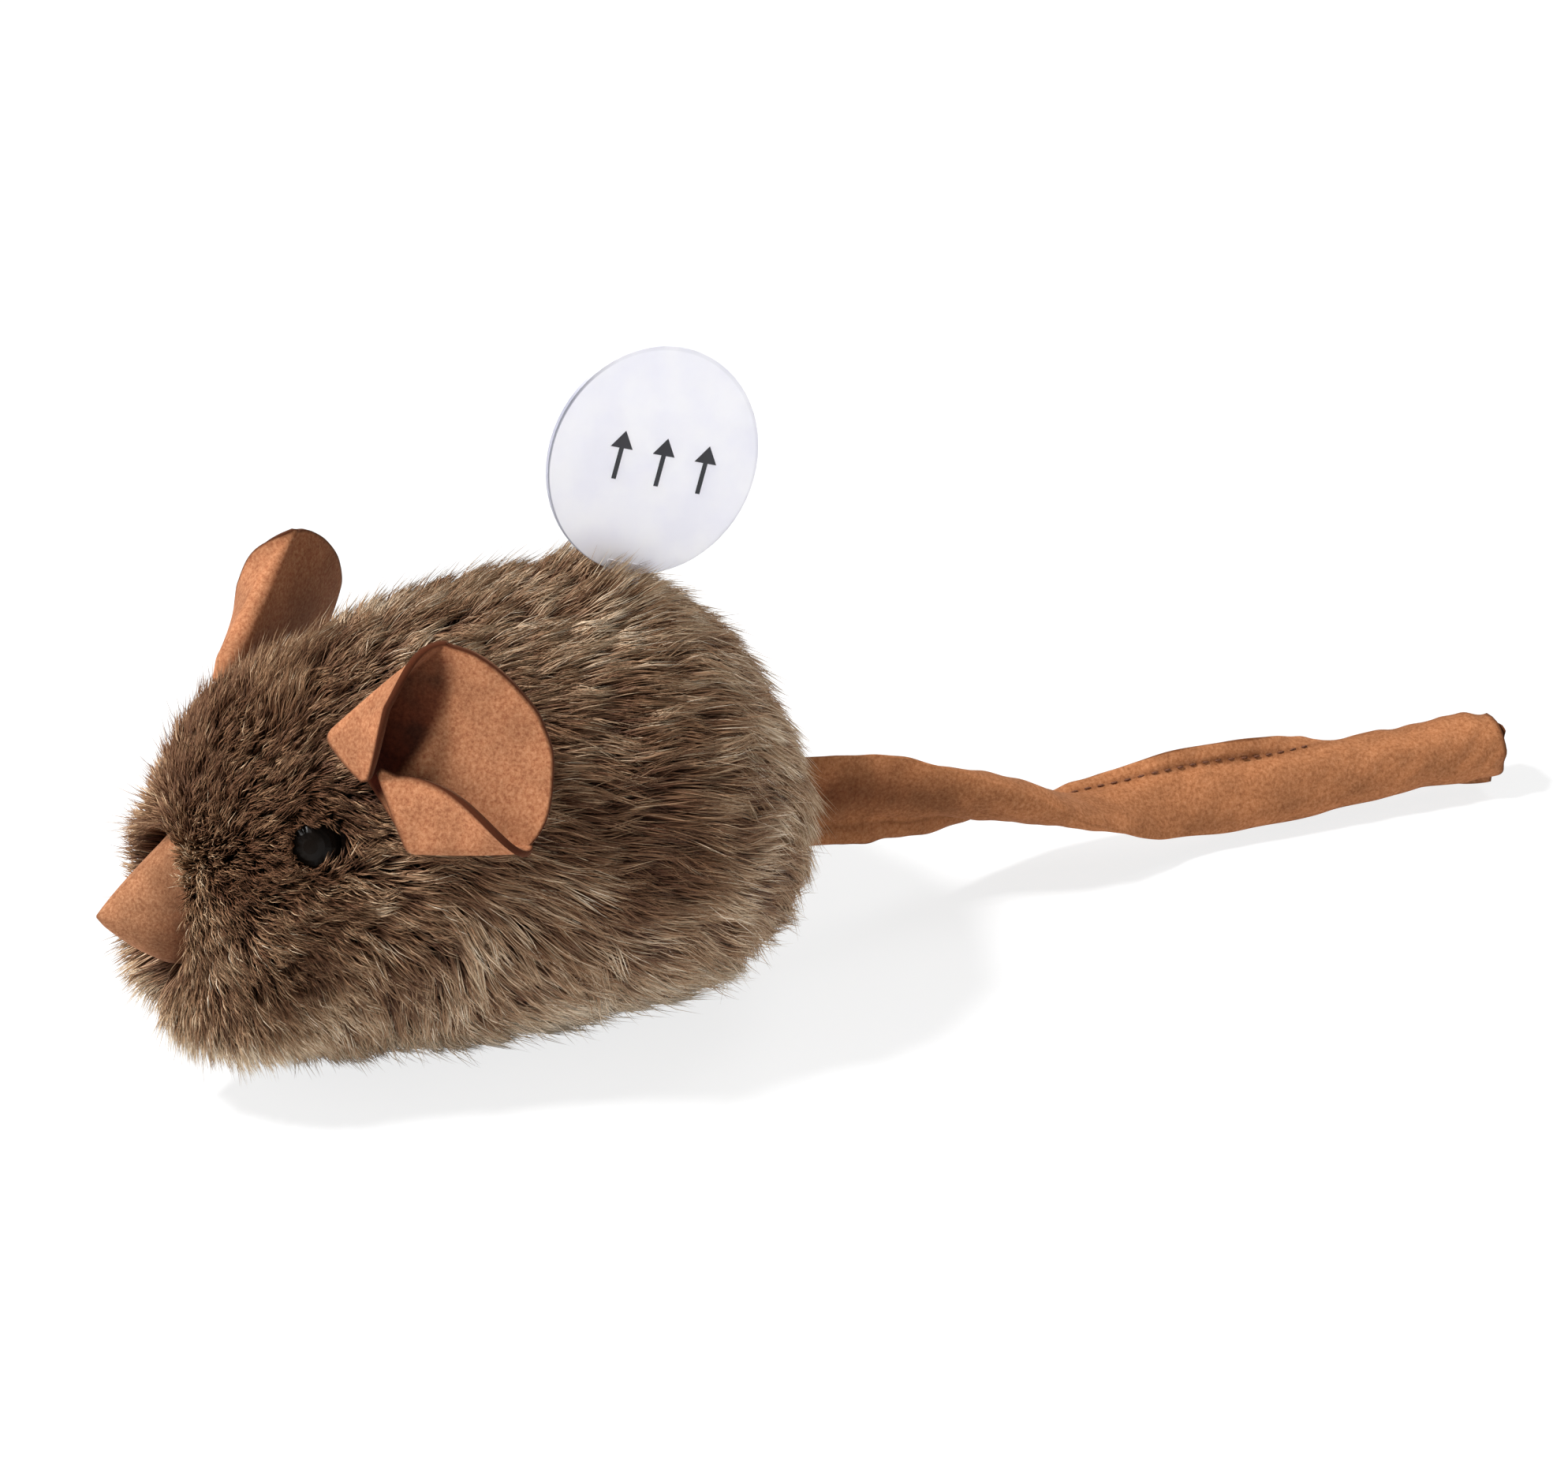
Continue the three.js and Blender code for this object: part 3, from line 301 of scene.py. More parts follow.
def sheet_film(name, colour, shade_colour, edge):
    """Frosted film: milky, with a faint drift, and a darker cut edge, painted as shade on its front side and
    faint behind.
    """
    made, tree, place = patterned(name)
    drift = add(tree, "TexNoise", sized(place, 4, Detail=2.0))
    paint = ramp(tree, drift.outputs["Fac"], [(0.35, shade_colour), (0.65, colour)])
    out = add(tree, "VectorMath", {0: place, 1: tuple(TAB_DISC_CENTRE * MM)}, operation="DISTANCE")
    inner, outer = (TAB_DISC_RADIUS - 0.16) * MM, (TAB_DISC_RADIUS - 0.05) * MM
    cut = add(tree, "MapRange", {0: out.outputs["Value"], 1: inner, 2: outer})
    split = add(tree, "SeparateXYZ", {"Vector": place})
    # Painted shade: the cut edge is darkest on the front side, towards the nose, and faint behind
    near, far = (TAB_DISC_CENTRE[1] - 9) * MM, (TAB_DISC_CENTRE[1] - 3) * MM
    painted_edge_shade = add(tree, "MapRange", {0: split.outputs["Y"], 1: near, 2: far, 3: 1.0, 4: 0.12})
    cut = add(tree, "Math", {0: cut.outputs[0], 1: painted_edge_shade.outputs[0]}, operation="MULTIPLY")
    paint = mix(tree, cut.outputs[0], paint, linear(edge))
    shade(tree, Base_Color=paint, Roughness=0.5, Transmission_Weight=0.35)
    return made


def metal(name, colour, dark, roughness, stretch):
    """Rolled or plated sheet metal, with the faint lines of the rolls."""
    made, tree, place = patterned(name)
    along = add(tree, "Mapping", {"Vector": place, "Scale": stretch}).outputs["Vector"]
    lines = add(tree, "TexNoise", sized(along, 0.5, Detail=3.0))
    paint = ramp(tree, lines.outputs["Fac"], [(0.3, dark), (0.7, colour)])
    rough = ramp(tree, lines.outputs["Fac"], [(0.3, roughness + 0.12), (0.7, roughness)])
    shade(tree, Base_Color=paint, Metallic=1.0, Roughness=rough)
    return made


def knit(name, colour, dark):
    """Knitted backing of the fur cloth, seen only where the pile parts."""
    made, tree, place = patterned(name)
    loops = add(tree, "TexVoronoi", sized(place, 0.7))
    paint = ramp(tree, loops.outputs["Distance"], [(0.1, colour), (0.6, dark)])
    bump = add(tree, "Bump", {"Height": loops.outputs["Distance"], "Strength": 0.5, "Distance": 0.2 * MM})
    shade(tree, Base_Color=paint, Normal=bump.outputs["Normal"], Roughness=0.95)
    return made


def spun(name, colour, dark, strand):
    """Spun thread and wire cover, mottled by its strands."""
    made, tree, place = patterned(name)
    twist = add(tree, "TexNoise", sized(place, strand, Detail=1.0))
    paint = ramp(tree, twist.outputs["Fac"], [(0.35, dark), (0.65, colour)])
    shade(tree, Base_Color=paint, Roughness=0.7)
    return made


ear_suede = suede("brushed microfibre suede, ears", "#986546", "#ac7a59", "#7e4a31", "#3c1b0c")
tail_suede = suede("brushed microfibre suede, tail", "#9d6743", "#b07a55", "#855232", "#4a2510")
nose_suede = suede("brushed microfibre suede, nose", "#98694a", "#af8160", "#7d4f35", "#5a301a", 0.32)
pile = fur_pile("acrylic pile, guard hairs", "#281209",
                [(0.0, "#4b2a17"), (0.4, "#755138"), (0.7, "#98775d"), (1.0, "#bca183")],
                [(0.0, "#5d3d26"), (0.35, "#937253"), (0.6, "#bb9f7e"), (0.85, "#dcc9ac"),
                 (1.0, "#f2e6d2")], 0.5)
undercoat = fur_pile("acrylic pile, undercoat", "#1f0e06",
                     [(0.0, "#3b2011"), (0.6, "#5c3b26"), (1.0, "#7d5d44")],
                     [(0.0, "#523420"), (0.6, "#7f5e43"), (1.0, "#a78b6d")], 0.7)
backing = knit("knitted polyester backing", "#4a382c", "#2b1f18")
button = moulded("polished polystyrene, black", "#0f0a07", "#090604", 0.6, 0.3, Specular_IOR_Level=0.08)
film = sheet_film("frosted polyester film", "#fbfbff", "#f3f3fb", "#9a9ba8")
ink = moulded("screen printed ink", "#2c2c33", "#24242a", 0.4, 0.6)
housing = moulded("moulded polystyrene, natural", "#e6e3da", "#dcd8ce", 0.5, 0.45)
nylon = moulded("moulded nylon, natural", "#ecebe4", "#e0ded5", 0.5, 0.5)
plated = metal("zinc plated steel", "#c2c5c8", "#a3a6aa", 0.3, (1, 1, 1))
nickel = metal("nickel plated steel", "#cfcfcc", "#b4b4b0", 0.22, (1, 0.1, 1))
spring_steel = metal("rolled spring steel", "#c4bfae", "#a39d8c", 0.32, (1, 1, 0.1))
brass = metal("rolled brass", "#cfa552", "#a9823a", 0.3, (0.1, 1, 1))
ceramic = moulded("silvered piezo ceramic", "#e4e1d6", "#d2cec2", 0.3, 0.42)
board = moulded("glass laminate with green varnish", "#2d6b3b", "#24592f", 0.8, 0.35)
resin = moulded("cast black epoxy", "#17181a", "#101113", 0.5, 0.3)
red_cover = spun("PVC wire cover, red", "#b3261e", "#961c16", 0.6)
black_cover = spun("PVC wire cover, black", "#1d1d20", "#121214", 0.6)
thread = spun("spun polyester thread", "#6b3c20", "#4b2712", 0.15)
pale_thread = spun("spun polyester thread, pale", "#d9cfc2", "#b9ac9b", 0.15)


# Meshes

def in_scene(name, data):
    made = bpy.data.objects.new(name, data)
    bpy.context.scene.collection.objects.link(made)
    return made


def finish_piece(name, points, rides, material, smooth=True):
    """Makes one piece from a bmesh in millimetres, faces outwards, and seats it on its body."""
    data = bpy.data.meshes.new(name)
    bmesh.ops.transform(points, matrix=Matrix.Scale(MM, 4), verts=points.verts)
    if points.calc_volume(signed=True) < 0:
        bmesh.ops.reverse_faces(points, faces=points.faces)
    points.to_mesh(data)
    points.free()
    data.materials.append(material)
    if smooth:
        data.polygons.foreach_set("use_smooth", [True] * len(data.polygons))
    piece = in_scene(name, data)
    if rides:
        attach(piece, rides)
    return piece


def edge_and_shade_layers(shape):
    """Two values for each point, which the suede reads: how near its cut edge, and how much painted shade
    and wear darken it.
    """
    return [shape.verts.layers.float.new(name) for name in ("rim", "painted_shade_and_wear")]


def outline_tree():
    """The body's outer surface, to measure heights from. Its faces are sorted by their places,
    as Blender makes them in another order each run, and a point over an edge gets the first."""
    shape = bmesh.new()
    bmesh.ops.create_uvsphere(shape, u_segments=120, v_segments=90, radius=1)
    lay_on_body(shape, 0.0)
    faces = []
    for face in shape.faces:
        corners = [tuple(round(value, 3) for value in vertex.co) for vertex in face.verts]
        first = corners.index(min(corners))
        faces.append(corners[first:] + corners[:first])
    shape.free()
    points, polygons = [], []
    for face in sorted(faces):
        polygons.append(list(range(len(points), len(points) + len(face))))
        points.extend(face)
    return BVHTree.FromPolygons(points, polygons)


GROOVE_REACH = 1.3


def lay_on_body(shape, depth, groove=0.0):
    """Moves a unit sphere's points to the body's surface, with a groove along its seams."""
    co = np.array([v.co for v in shape.verts])
    place = (1 - np.clip(co[:, 2], -1, 1)) / 2
    angle = np.degrees(np.arctan2(co[:, 0], co[:, 1]))
    lower = gusset_angle(place)
    sideways = np.abs(angle)
    width = smooth_column(BODY_SHARES, place, 1) * BODY_HALF_WIDTH
    back = np.radians(sideways) * width
    belly = np.radians(np.abs(180 - lower - sideways)) * width
    dip = groove * (bell(back, GROOVE_REACH) + bell(belly, GROOVE_REACH) * (lower > 0))
    moved = body_points(place, angle, depth + dip)
    if depth:
        moved += body_normals(place, angle) * (0.6 * fullness(body_points(place, angle)))[:, None]
    for vertex, point in zip(shape.verts, moved):
        vertex.co = point
    bmesh.ops.recalc_face_normals(shape, faces=shape.faces)


def gusset_angle(place):
    start, end = GUSSET_ENDS
    share = np.clip((place - start) / (end - start), 0, 1)
    return GUSSET_HALF_ANGLE * np.sin(np.pi * share) ** 0.8


# Stuffed body under the pile: the backing cloth drawn tight over its filling
shape = bmesh.new()
bmesh.ops.create_uvsphere(shape, u_segments=96, v_segments=64, radius=1)
lay_on_body(shape, 4.5, 0.5)
stuffed = finish_piece("stuffed_body", shape, "mouse", backing)
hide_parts("left_fur_panel", "right_fur_panel", "belly_gusset", "fibre_filling")


# Ears

EAR_FORMS = {
    "left": dict(front_place=0.248, front_angle=33.9, back_place=0.301, back_angle=67.7, raised=3,
                 front_fold=16.7, front_splay=8.5, front_lean=60.3, front_open=46.5,
                 back_fold=12.8, back_splay=31.1, back_lean=82, back_open=3, bulge=6.1, side=1, root=-0.04,
                 flaps=(5.4, 7.5), fade=(1.1, 2.5), tuck=(4, 5), arch=0),
    "right": dict(front_place=0.2, front_angle=37.6, back_place=0.279, back_angle=71.2, raised=0,
                  front_fold=17.1, front_splay=-10.4, front_lean=60.6, front_open=27,
                  back_fold=12.3, back_splay=37.7, back_lean=66, back_open=8, bulge=4, side=-1, root=-0.14,
                  flaps=(6.8, 9.2), fade=(0.77, 3), tuck=(13, 5), arch=0.9),
}
EAR_LIFT = 0.75
EAR_THICKNESS = 0.75
EAR_CUP = 1.6
EAR_FOLD_RADIUS = 1
EAR_SHUT = 6
EAR_BOWS = {
    "left": np.array([[0, 0], [0.115, 0.35], [0.22, 0.57], [0.36, 0.77], [0.52, 0.91], [0.64, 0.9],
                      [0.81, 0.67], [0.93, 0.38], [0.98, 0.16], [1, 0]]),
    "right": np.array([[0, 0], [0.125, 0.36], [0.3, 0.72], [0.55, 1], [0.75, 1.05], [0.875, 0.7], [1, 0]]),
}
EAR_RISES = (0.3, 0.19)
EAR_CORNER = 0.3
EAR_ROWS, EAR_MAIN, EAR_BEND, EAR_FLAP = 44, 44, 10, 14
EAR_POCKET_COLUMN, EAR_FRONT_COLUMN, EAR_BACK_COLUMN = 51, 15, 75
FLAP_NARROWING = (2.7, 2.2)
FLAP_LEAST = 0.02


def ear_frame(form):
    """Base line, direction across it, and the directions out of it and off the leaf. The rear end
    of the base may be raised, and the direction across doesn't follow that."""
    def spread(part, what):
        front, back = form[f"front_{what}"], form[f"back_{what}"]
        return front + (back - front) * np.asarray(part, float)

    def base(part, raised=form["raised"]):
        place, angle = spread(part, "place"), spread(part, "angle") - raised * np.asarray(part, float)
        return body_points(place, angle) + EAR_LIFT * body_normals(place, angle)

    across = unit(base(1, 0) - base(0, 0))
    normal = body_normals(spread(0.5, "place"), spread(0.5, "angle"))
    normal = unit(normal - across * (normal @ across))
    rearward = np.cross(across, normal)
    rearward = rearward * np.sign(rearward[1])

    def ways(part):
        lean = np.radians(spread(part, "lean"))[..., None]
        out = normal * np.cos(lean) + rearward * np.sin(lean)
        return out, normal * np.sin(lean) - rearward * np.cos(lean)

    return base, across, ways


def flap_fade(share, end, foot, power):
    """How wide a flap is at a share of the leaf's height, against its widest."""
    if share < 0:
        return (foot if end else 1 + FLAP_LEAST) + FLAP_NARROWING[end] * share
    if end == 0:
        return max(1 - share ** 1.2, 0.0) ** 0.8 + FLAP_LEAST
    return (1 - share ** power) * (foot + (1 - foot) * min(share / 0.12, 1)) + FLAP_LEAST


def ear_grid(form):
    """Middle surface of the folded leaf, row by row from its base to its rim."""
    base, across, ways = ear_frame(form)

    def tip(end, length, splay):
        splay = math.radians(splay)
        return base(end) + ways(end)[0] * length * math.cos(splay) + across * length * math.sin(splay)

    front_tip = tip(0, form["front_fold"], -form["front_splay"])
    back_tip = tip(1, form["back_fold"], form["back_splay"])
    part = np.linspace(0, 1, EAR_MAIN + 1)
    out, facing = ways(part)
    bow = (4 * part * (1 - part))[:, None]
    rounding = EAR_CORNER * (bell(part, 0.05) + bell(1 - part, 0.05))
    rim = (front_tip + (back_tip - front_tip) * part[:, None]
           + out * (form["bulge"] * smooth_column(form["bow"], part) - rounding)[:, None])
    foot = base(part)
    grid = []
    for row in range(EAR_ROWS + 1):
        share = form["root"] + (1 - form["root"]) * row / EAR_ROWS
        up = max(share, 0)
        middle = foot + (rim - foot) * share - facing * EAR_CUP * bow * share
        tuck = (form["tuck"][0] * (1 - part) - form["tuck"][1] * part) * max(-share, 0)
        arch = form["arch"] * (1 - part) * 4 * up * (1 - share)
        middle = middle + np.outer(tuck + arch, across)
        sides = []
        for end, towards, opened in ((0, across, form["front_open"]), (1, -across, form["back_open"])):
            width = form["flaps"][end]
            way_out, face = ways(end)
            fade = flap_fade(share, end, *form["fade"])
            shut = math.radians(EAR_SHUT + (opened - EAR_SHUT) * min(2 * up, 1))
            angle = math.pi - (math.pi - shut) * (1 - 0.8 * up ** 4)
            radius = EAR_FOLD_RADIUS * (1 - 0.6 * up ** 3)
            turn = (math.pi - angle) * np.linspace(0, 1, EAR_BEND + 1)[1:, None]
            curl = middle[-end] + face * radius * (1 - np.cos(turn)) - towards * radius * np.sin(turn)
            reach = width * fade * np.linspace(0, 1, EAR_FLAP + 1)[1:, None]
            sheet = (curl[-1] + (towards + way_out * EAR_RISES[end]) * reach * math.cos(angle)
                     + face * (reach * math.sin(angle) + 0.5 * np.sin(np.pi * reach / (width * 1.2)) * fade))
            sides.append(np.concatenate([curl, sheet]))
        grid.append(np.concatenate([sides[0][::-1], middle, sides[1]]))
    return np.array(grid) * np.array([form["side"], 1, 1])


def sheet_of_grid(grid, thickness, edge_and_shadow_width, inside, outside, facing_in):
    """A cut sheet of even thickness over a grid of points, its cut edges marked as rim in bands that
    may hold painted shadow, and the painted shade and wear on the side that faces in and on the other one."""
    rows, columns = grid.shape[:2]
    shape = bmesh.new()
    bmesh.ops.create_grid(shape, x_segments=columns - 1, y_segments=rows - 1, size=0.5)
    rim, painted_shade_and_wear = edge_and_shade_layers(shape)
    number = shape.verts.layers.int.new("number")
    steps = np.linalg.norm(np.diff(grid, axis=1), axis=2)
    along = np.concatenate([np.zeros((rows, 1)), np.cumsum(steps, 1)], 1)
    rises = np.linalg.norm(np.diff(grid, axis=0), axis=2)
    up = np.concatenate([np.zeros((1, columns)), np.cumsum(rises, 0)], 0)
    distance = np.minimum.reduce([along, along[:, -1:] - along, up, up[-1:] - up])
    for vertex in shape.verts:
        column = round((vertex.co.x + 0.5) * (columns - 1))
        row = round((vertex.co.y + 0.5) * (rows - 1))
        vertex.co = grid[row, column]
        vertex[rim] = float(np.clip(1 - distance[row, column] / edge_and_shadow_width[row, column], 0, 1))
        vertex[number] = row * columns + column
    bmesh.ops.recalc_face_normals(shape, faces=shape.faces)
    area = sum(face.calc_area() for face in shape.faces)
    shape.normal_update()
    normals = {vertex[number]: vertex.normal.copy() for vertex in shape.verts}
    flip = normals[(rows // 2) * columns + columns // 2].dot(facing_in)
    for vertex in shape.verts:
        vertex.co -= vertex.normal * thickness / 2
    bmesh.ops.solidify(shape, geom=shape.faces[:], thickness=-thickness)
    bmesh.ops.recalc_face_normals(shape, faces=shape.faces)
    shape.normal_update()
    for vertex in shape.verts:
        faces_in = vertex.normal.dot(normals[vertex[number]]) * flip > 0
        vertex[painted_shade_and_wear] = float((inside if faces_in else outside).flat[vertex[number]])
    return shape, area


ear_points = []
for side, form in EAR_FORMS.items():
    grid = ear_grid(dict(form, bow=EAR_BOWS[side]))
    ear_points.append(grid[::4, ::4].reshape(-1, 3))
    base, _, ways = ear_frame(form)
    out, facing = ways(0.5)
    mirror = np.array([form["side"], 1, 1])
    columns = np.arange(grid.shape[1])
    up = np.linspace(0, 1, len(grid))[:, None]
    # The left ear's pocket, in the shade of its front flap, gets painted shade on its inner face; the right
    # one's can't be seen
    painted_pocket_shadow = soft_step((EAR_POCKET_COLUMN - 27 * up - columns) / 5 + 0.5) * (1 - 0.35 * up ** 2)
    inside = painted_pocket_shadow if side == "left" else np.zeros_like(painted_pocket_shadow)
    # The front flap's outer face is darkened a little
    outside = np.tile(0.15 * (columns < EAR_FRONT_COLUMN), (len(grid), 1))
    # The back flap's free edge gets a wider dark band than its cut edge alone: painted shadow under the flap
    edge_and_shadow_width = 0.4 + 0.5 * (columns > EAR_BACK_COLUMN) * np.sin(np.pi * up)
    shape, area = sheet_of_grid(grid, EAR_THICKNESS, edge_and_shadow_width, inside, outside, Vector(facing * mirror))
    ear = finish_piece(f"{side}_ear_leaf", shape, None, ear_suede)
    middle = (base(0) + base(1)) / 2
    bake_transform(ear)
    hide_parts(f"{side}_ear")
ear_points = np.concatenate(ear_points)


# Tail

TAIL_ROOT_Y = (1 - REST_SHARE) * BODY_LENGTH + 0.3
TAIL_LENGTH = 86.8
TAIL_WIDTH = 10.6
TAIL_THICKNESS = 2.2
TAIL_SEWN_IN = 5
TAIL_ROOT_HEIGHT = 17
TAIL_REST_HEIGHT = 5.8
TAIL_DRIFT = 3.6
TAIL_TWIST = 195
TAIL_TWISTS = np.array([[0, 0], [0.08, 0.02], [0.3, 0.29], [0.42, 0.49], [0.54, 0.74], [0.76, 0.83],
                        [1, 0.86]])
TAIL_DROPS = np.array([[0, 0], [0.1, 0.14], [0.2, 0.345], [0.3, 0.57], [0.4, 0.83], [0.48, 0.905],
                       [0.58, 0.93], [0.68, 0.97], [0.77, 0.963], [0.88, 0.935], [1, 0.92]])
TAIL_WIDTHS = np.array([[0, 1.06], [0.2, 1.07], [0.35, 1.02], [0.47, 0.89], [0.6, 0.98], [0.76, 0.9],
                        [0.88, 0.84], [1, 0.9]])
TAIL_DRIFTS = np.array([[0, 0], [0.3, 0], [0.56, 0.1], [0.76, 0.45], [1, 1]])
TAIL_PUFF = 1.5
TAIL_PINCH = 1.5
TAIL_WALL = 0.65
CLOTH_HALF = 0.42
SEAM_WIDE = -TAIL_WIDTH / 2 + 2.1
CREASE_WIDE = SEAM_WIDE + 0.5
FOLD_BACK = math.radians(168)
FOLD_FROM, FOLD_OVER = 0.64, 0.22
STITCHED_SHARES = (0.26, 0.74)
WRINKLE_DEPTH = 0.8
STITCH_PITCH = 1.55
STITCH_SIZE = (0.14, 0.14, 0.46)
STITCH_HEIGHT = 0.5


def tail_point(share, wide, deep):
    """A point of the tail: share of its length, across its width and through its thickness."""
    twist = math.radians(TAIL_TWIST) * smooth_column(TAIL_TWISTS, share)
    height = TAIL_ROOT_HEIGHT - (TAIL_ROOT_HEIGHT - TAIL_REST_HEIGHT) * smooth_column(TAIL_DROPS, share)
    drift = TAIL_DRIFT * smooth_column(TAIL_DRIFTS, share)
    return np.stack([
        drift + wide * np.sin(twist) + deep * np.cos(twist),
        TAIL_ROOT_Y + TAIL_LENGTH * share + 0 * wide,
        height + wide * np.cos(twist) - deep * np.sin(twist),
    ], -1)


def filled(share):
    """Half the thickness of the tube: crowded where it twists, rounder after its second fold."""
    return (TAIL_THICKNESS / 2 + TAIL_PINCH * bell(share - 0.29, 0.1)
            + TAIL_PUFF * soft_step((share - 0.5) / 0.2))


def tail_fold(share, wide, deep):
    """Turns the seam allowance over behind the tube on the tail's last part, then places it."""
    stretch = smooth_column(TAIL_WIDTHS, share)
    wide, crease = wide * stretch, CREASE_WIDE * stretch
    beyond = np.maximum(crease - wide, 0)
    amount = soft_step((share - FOLD_FROM) / FOLD_OVER)
    bend = FOLD_BACK * amount * np.clip(beyond / 0.9, 0, 1)
    lift = (filled(share) + 0.5) * amount * (1 - np.exp(-beyond / 0.5))
    across = np.where(beyond > 0, crease - beyond * np.cos(bend) + deep * np.sin(bend), wide)
    through = np.where(beyond > 0, beyond * np.sin(bend) + deep * np.cos(bend) + lift, deep)
    return tail_point(share, across, through)


def tail_layer(wide, share):
    """Half the thickness at a place across: a filled tube, a pinched seam, a flat allowance."""
    middle, reach = (TAIL_WIDTH / 2 + CREASE_WIDE) / 2, (TAIL_WIDTH / 2 - CREASE_WIDE) / 2
    tube = filled(share) * np.sqrt(np.maximum(1 - np.abs((wide - middle) / reach) ** 2.6, 0))
    allowance = CLOTH_HALF + 0.33 * soft_step((SEAM_WIDE - wide) / 0.7)
    return np.where(wide > CREASE_WIDE, np.maximum(tube, CLOTH_HALF), allowance)


def tail_wrinkle(share, wide):
    """Soft creases of the flat tube, strongest at its root and at its open end."""
    ends = 0.9 * np.exp(-share * 8) + 1.5 * np.exp(-(1 - share) * 13) + 0.3
    return ends * (0.22 * np.sin(share * 61 + wide * 0.7) + 0.16 * np.sin(share * 97 - wide * 1.1 + 2)
                   + 0.1 * np.sin(share * 149 + wide * 1.9 + 4))


def seam_ruffle(share, wide):
    """Waves of the loose edge beyond the seam, which stands out near the root."""
    loose = np.clip((SEAM_WIDE - wide) / 1.2, 0, 1)
    ripple = (0.14 * np.sin(share * 88) + 0.12 * np.sin(share * 131 + 1)) * (np.exp(-share * 3) + 0.2)
    return loose * (ripple + 0.6 * bell(share, 0.28))


# A tube whose open end is turned in, as far as the eye sees into it
shape = bmesh.new()
around, rings = 96, 230
bmesh.ops.create_cone(shape, cap_ends=False, segments=around, radius1=1, radius2=1, depth=1)
lengthways = [edge for edge in shape.edges if abs(edge.verts[0].co.z - edge.verts[1].co.z) > 0.5]
bmesh.ops.subdivide_edges(shape, edges=lengthways, cuts=rings - 1, use_grid_fill=True)
mouth = [edge for edge in shape.edges if edge.is_boundary and edge.verts[0].co.z > 0]
LINING = ((0.5, 0.0), (0.25, 0.05))
for radius, depth in LINING:
    made = bmesh.ops.extrude_edge_only(shape, edges=mouth)["geom"]
    for vertex in [item for item in made if isinstance(item, bmesh.types.BMVert)]:
        away = math.hypot(vertex.co.x, vertex.co.y)
        vertex.co = (vertex.co.x / away * radius, vertex.co.y / away * radius, 0.5 - depth)
    mouth = [item for item in made if isinstance(item, bmesh.types.BMEdge)]
bmesh.ops.holes_fill(shape, edges=[edge for edge in shape.edges if edge.is_boundary], sides=0)
bmesh.ops.triangulate(shape, faces=[face for face in shape.faces if len(face.verts) > 4])
rim, painted_shade_and_wear = edge_and_shade_layers(shape)
co = np.array([v.co for v in shape.verts])
share = np.clip(co[:, 2] + 0.5, 0, 1)
turn = np.arctan2(co[:, 1], co[:, 0])
outer = np.hypot(co[:, 0], co[:, 1]) > 0.9
half = TAIL_WIDTH / 2
across = np.sign(np.sin(turn)) * np.abs(np.sin(turn)) ** 0.7
through = np.sign(np.cos(turn)) * np.abs(np.cos(turn)) ** 0.35
middle, reach = (half + CREASE_WIDE) / 2, (half - CREASE_WIDE) / 2
wide = np.where(outer, half * across, middle + (reach - 1.0) * across)
lining = np.maximum(tail_layer(wide, share) - TAIL_WALL, 0.1)
thick = np.where(outer, tail_layer(half * across, share), lining)
deep = through * thick + (tail_wrinkle(share, wide) + seam_ruffle(share, wide)) * WRINKLE_DEPTH
wide = wide + 0.1 * np.sin(share * 55) * np.abs(across)
wide = wide + 0.8 * (across > 0.5) * (through > 0.2) * soft_step((share - 0.93) / 0.05)
uneven = (0.004 * np.sin(turn * 3 + 1) - 0.006 * np.sin(turn)) * soft_step((share - 0.94) / 0.06)
moved = tail_fold(np.clip(share + uneven - 0.006, 0, 1), wide, deep)
moved[:, 1] -= TAIL_SEWN_IN * np.clip(1 - share / 0.05, 0, 1)
for vertex, point, place, w, is_outer in zip(shape.verts, moved, share, wide, outer):
    vertex.co = point
    cut = bell((1 - place) * TAIL_LENGTH, 0.35) if is_outer else 1.0
    raw = np.clip((w + half - 0.25) / -0.2, 0, 1) if is_outer else 0
    vertex[rim] = float(min(0.85 * cut + 0.7 * raw + 0.42 * bell(w - SEAM_WIDE, 0.2), 1))
    # Painted shade: darker near the root, where the body shades it, most in the hollow between the seam and
    # the top edge, less on the allowance; a little darker all over
    painted_root_shade = bell(place, 0.22) * bell(w - 0.9, 2.8)
    vertex[painted_shade_and_wear] = float(0.62 * painted_root_shade + 0.05) * (1 if w > SEAM_WIDE else 0.4)
bmesh.ops.recalc_face_normals(shape, faces=shape.faces)
tail = finish_piece("tail_tube", shape, None, tail_suede)
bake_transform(tail)
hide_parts("suede_tail")

# Stitches along the tail's seam, on both faces
shape = bmesh.new()
first, last = (int(TAIL_LENGTH * share / STITCH_PITCH) for share in STITCHED_SHARES)
for index in range(first, last):
    share = (index + 0.7) * STITCH_PITCH / TAIL_LENGTH
    bent = float(tail_wrinkle(share, SEAM_WIDE)) * WRINKLE_DEPTH
    for height in (STITCH_HEIGHT, -STITCH_HEIGHT):
        here, ahead = (tail_fold(np.float64(place), np.float64(SEAM_WIDE), height + bent)
                       for place in (share, share + 0.01))
        made = bmesh.ops.create_icosphere(shape, subdivisions=1, radius=1)["verts"]
        turn = Vector(ahead - here).normalized().to_track_quat("Z", "Y").to_matrix().to_4x4()
        bmesh.ops.transform(shape, verts=made, matrix=Matrix.Translation(Vector(here)) @ turn
                            @ Matrix.Diagonal((*STITCH_SIZE, 1)))
stitches = finish_piece("tail_stitches", shape, None, thread)
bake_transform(stitches)


# Nose: a suede cone with its seam along the top ridge

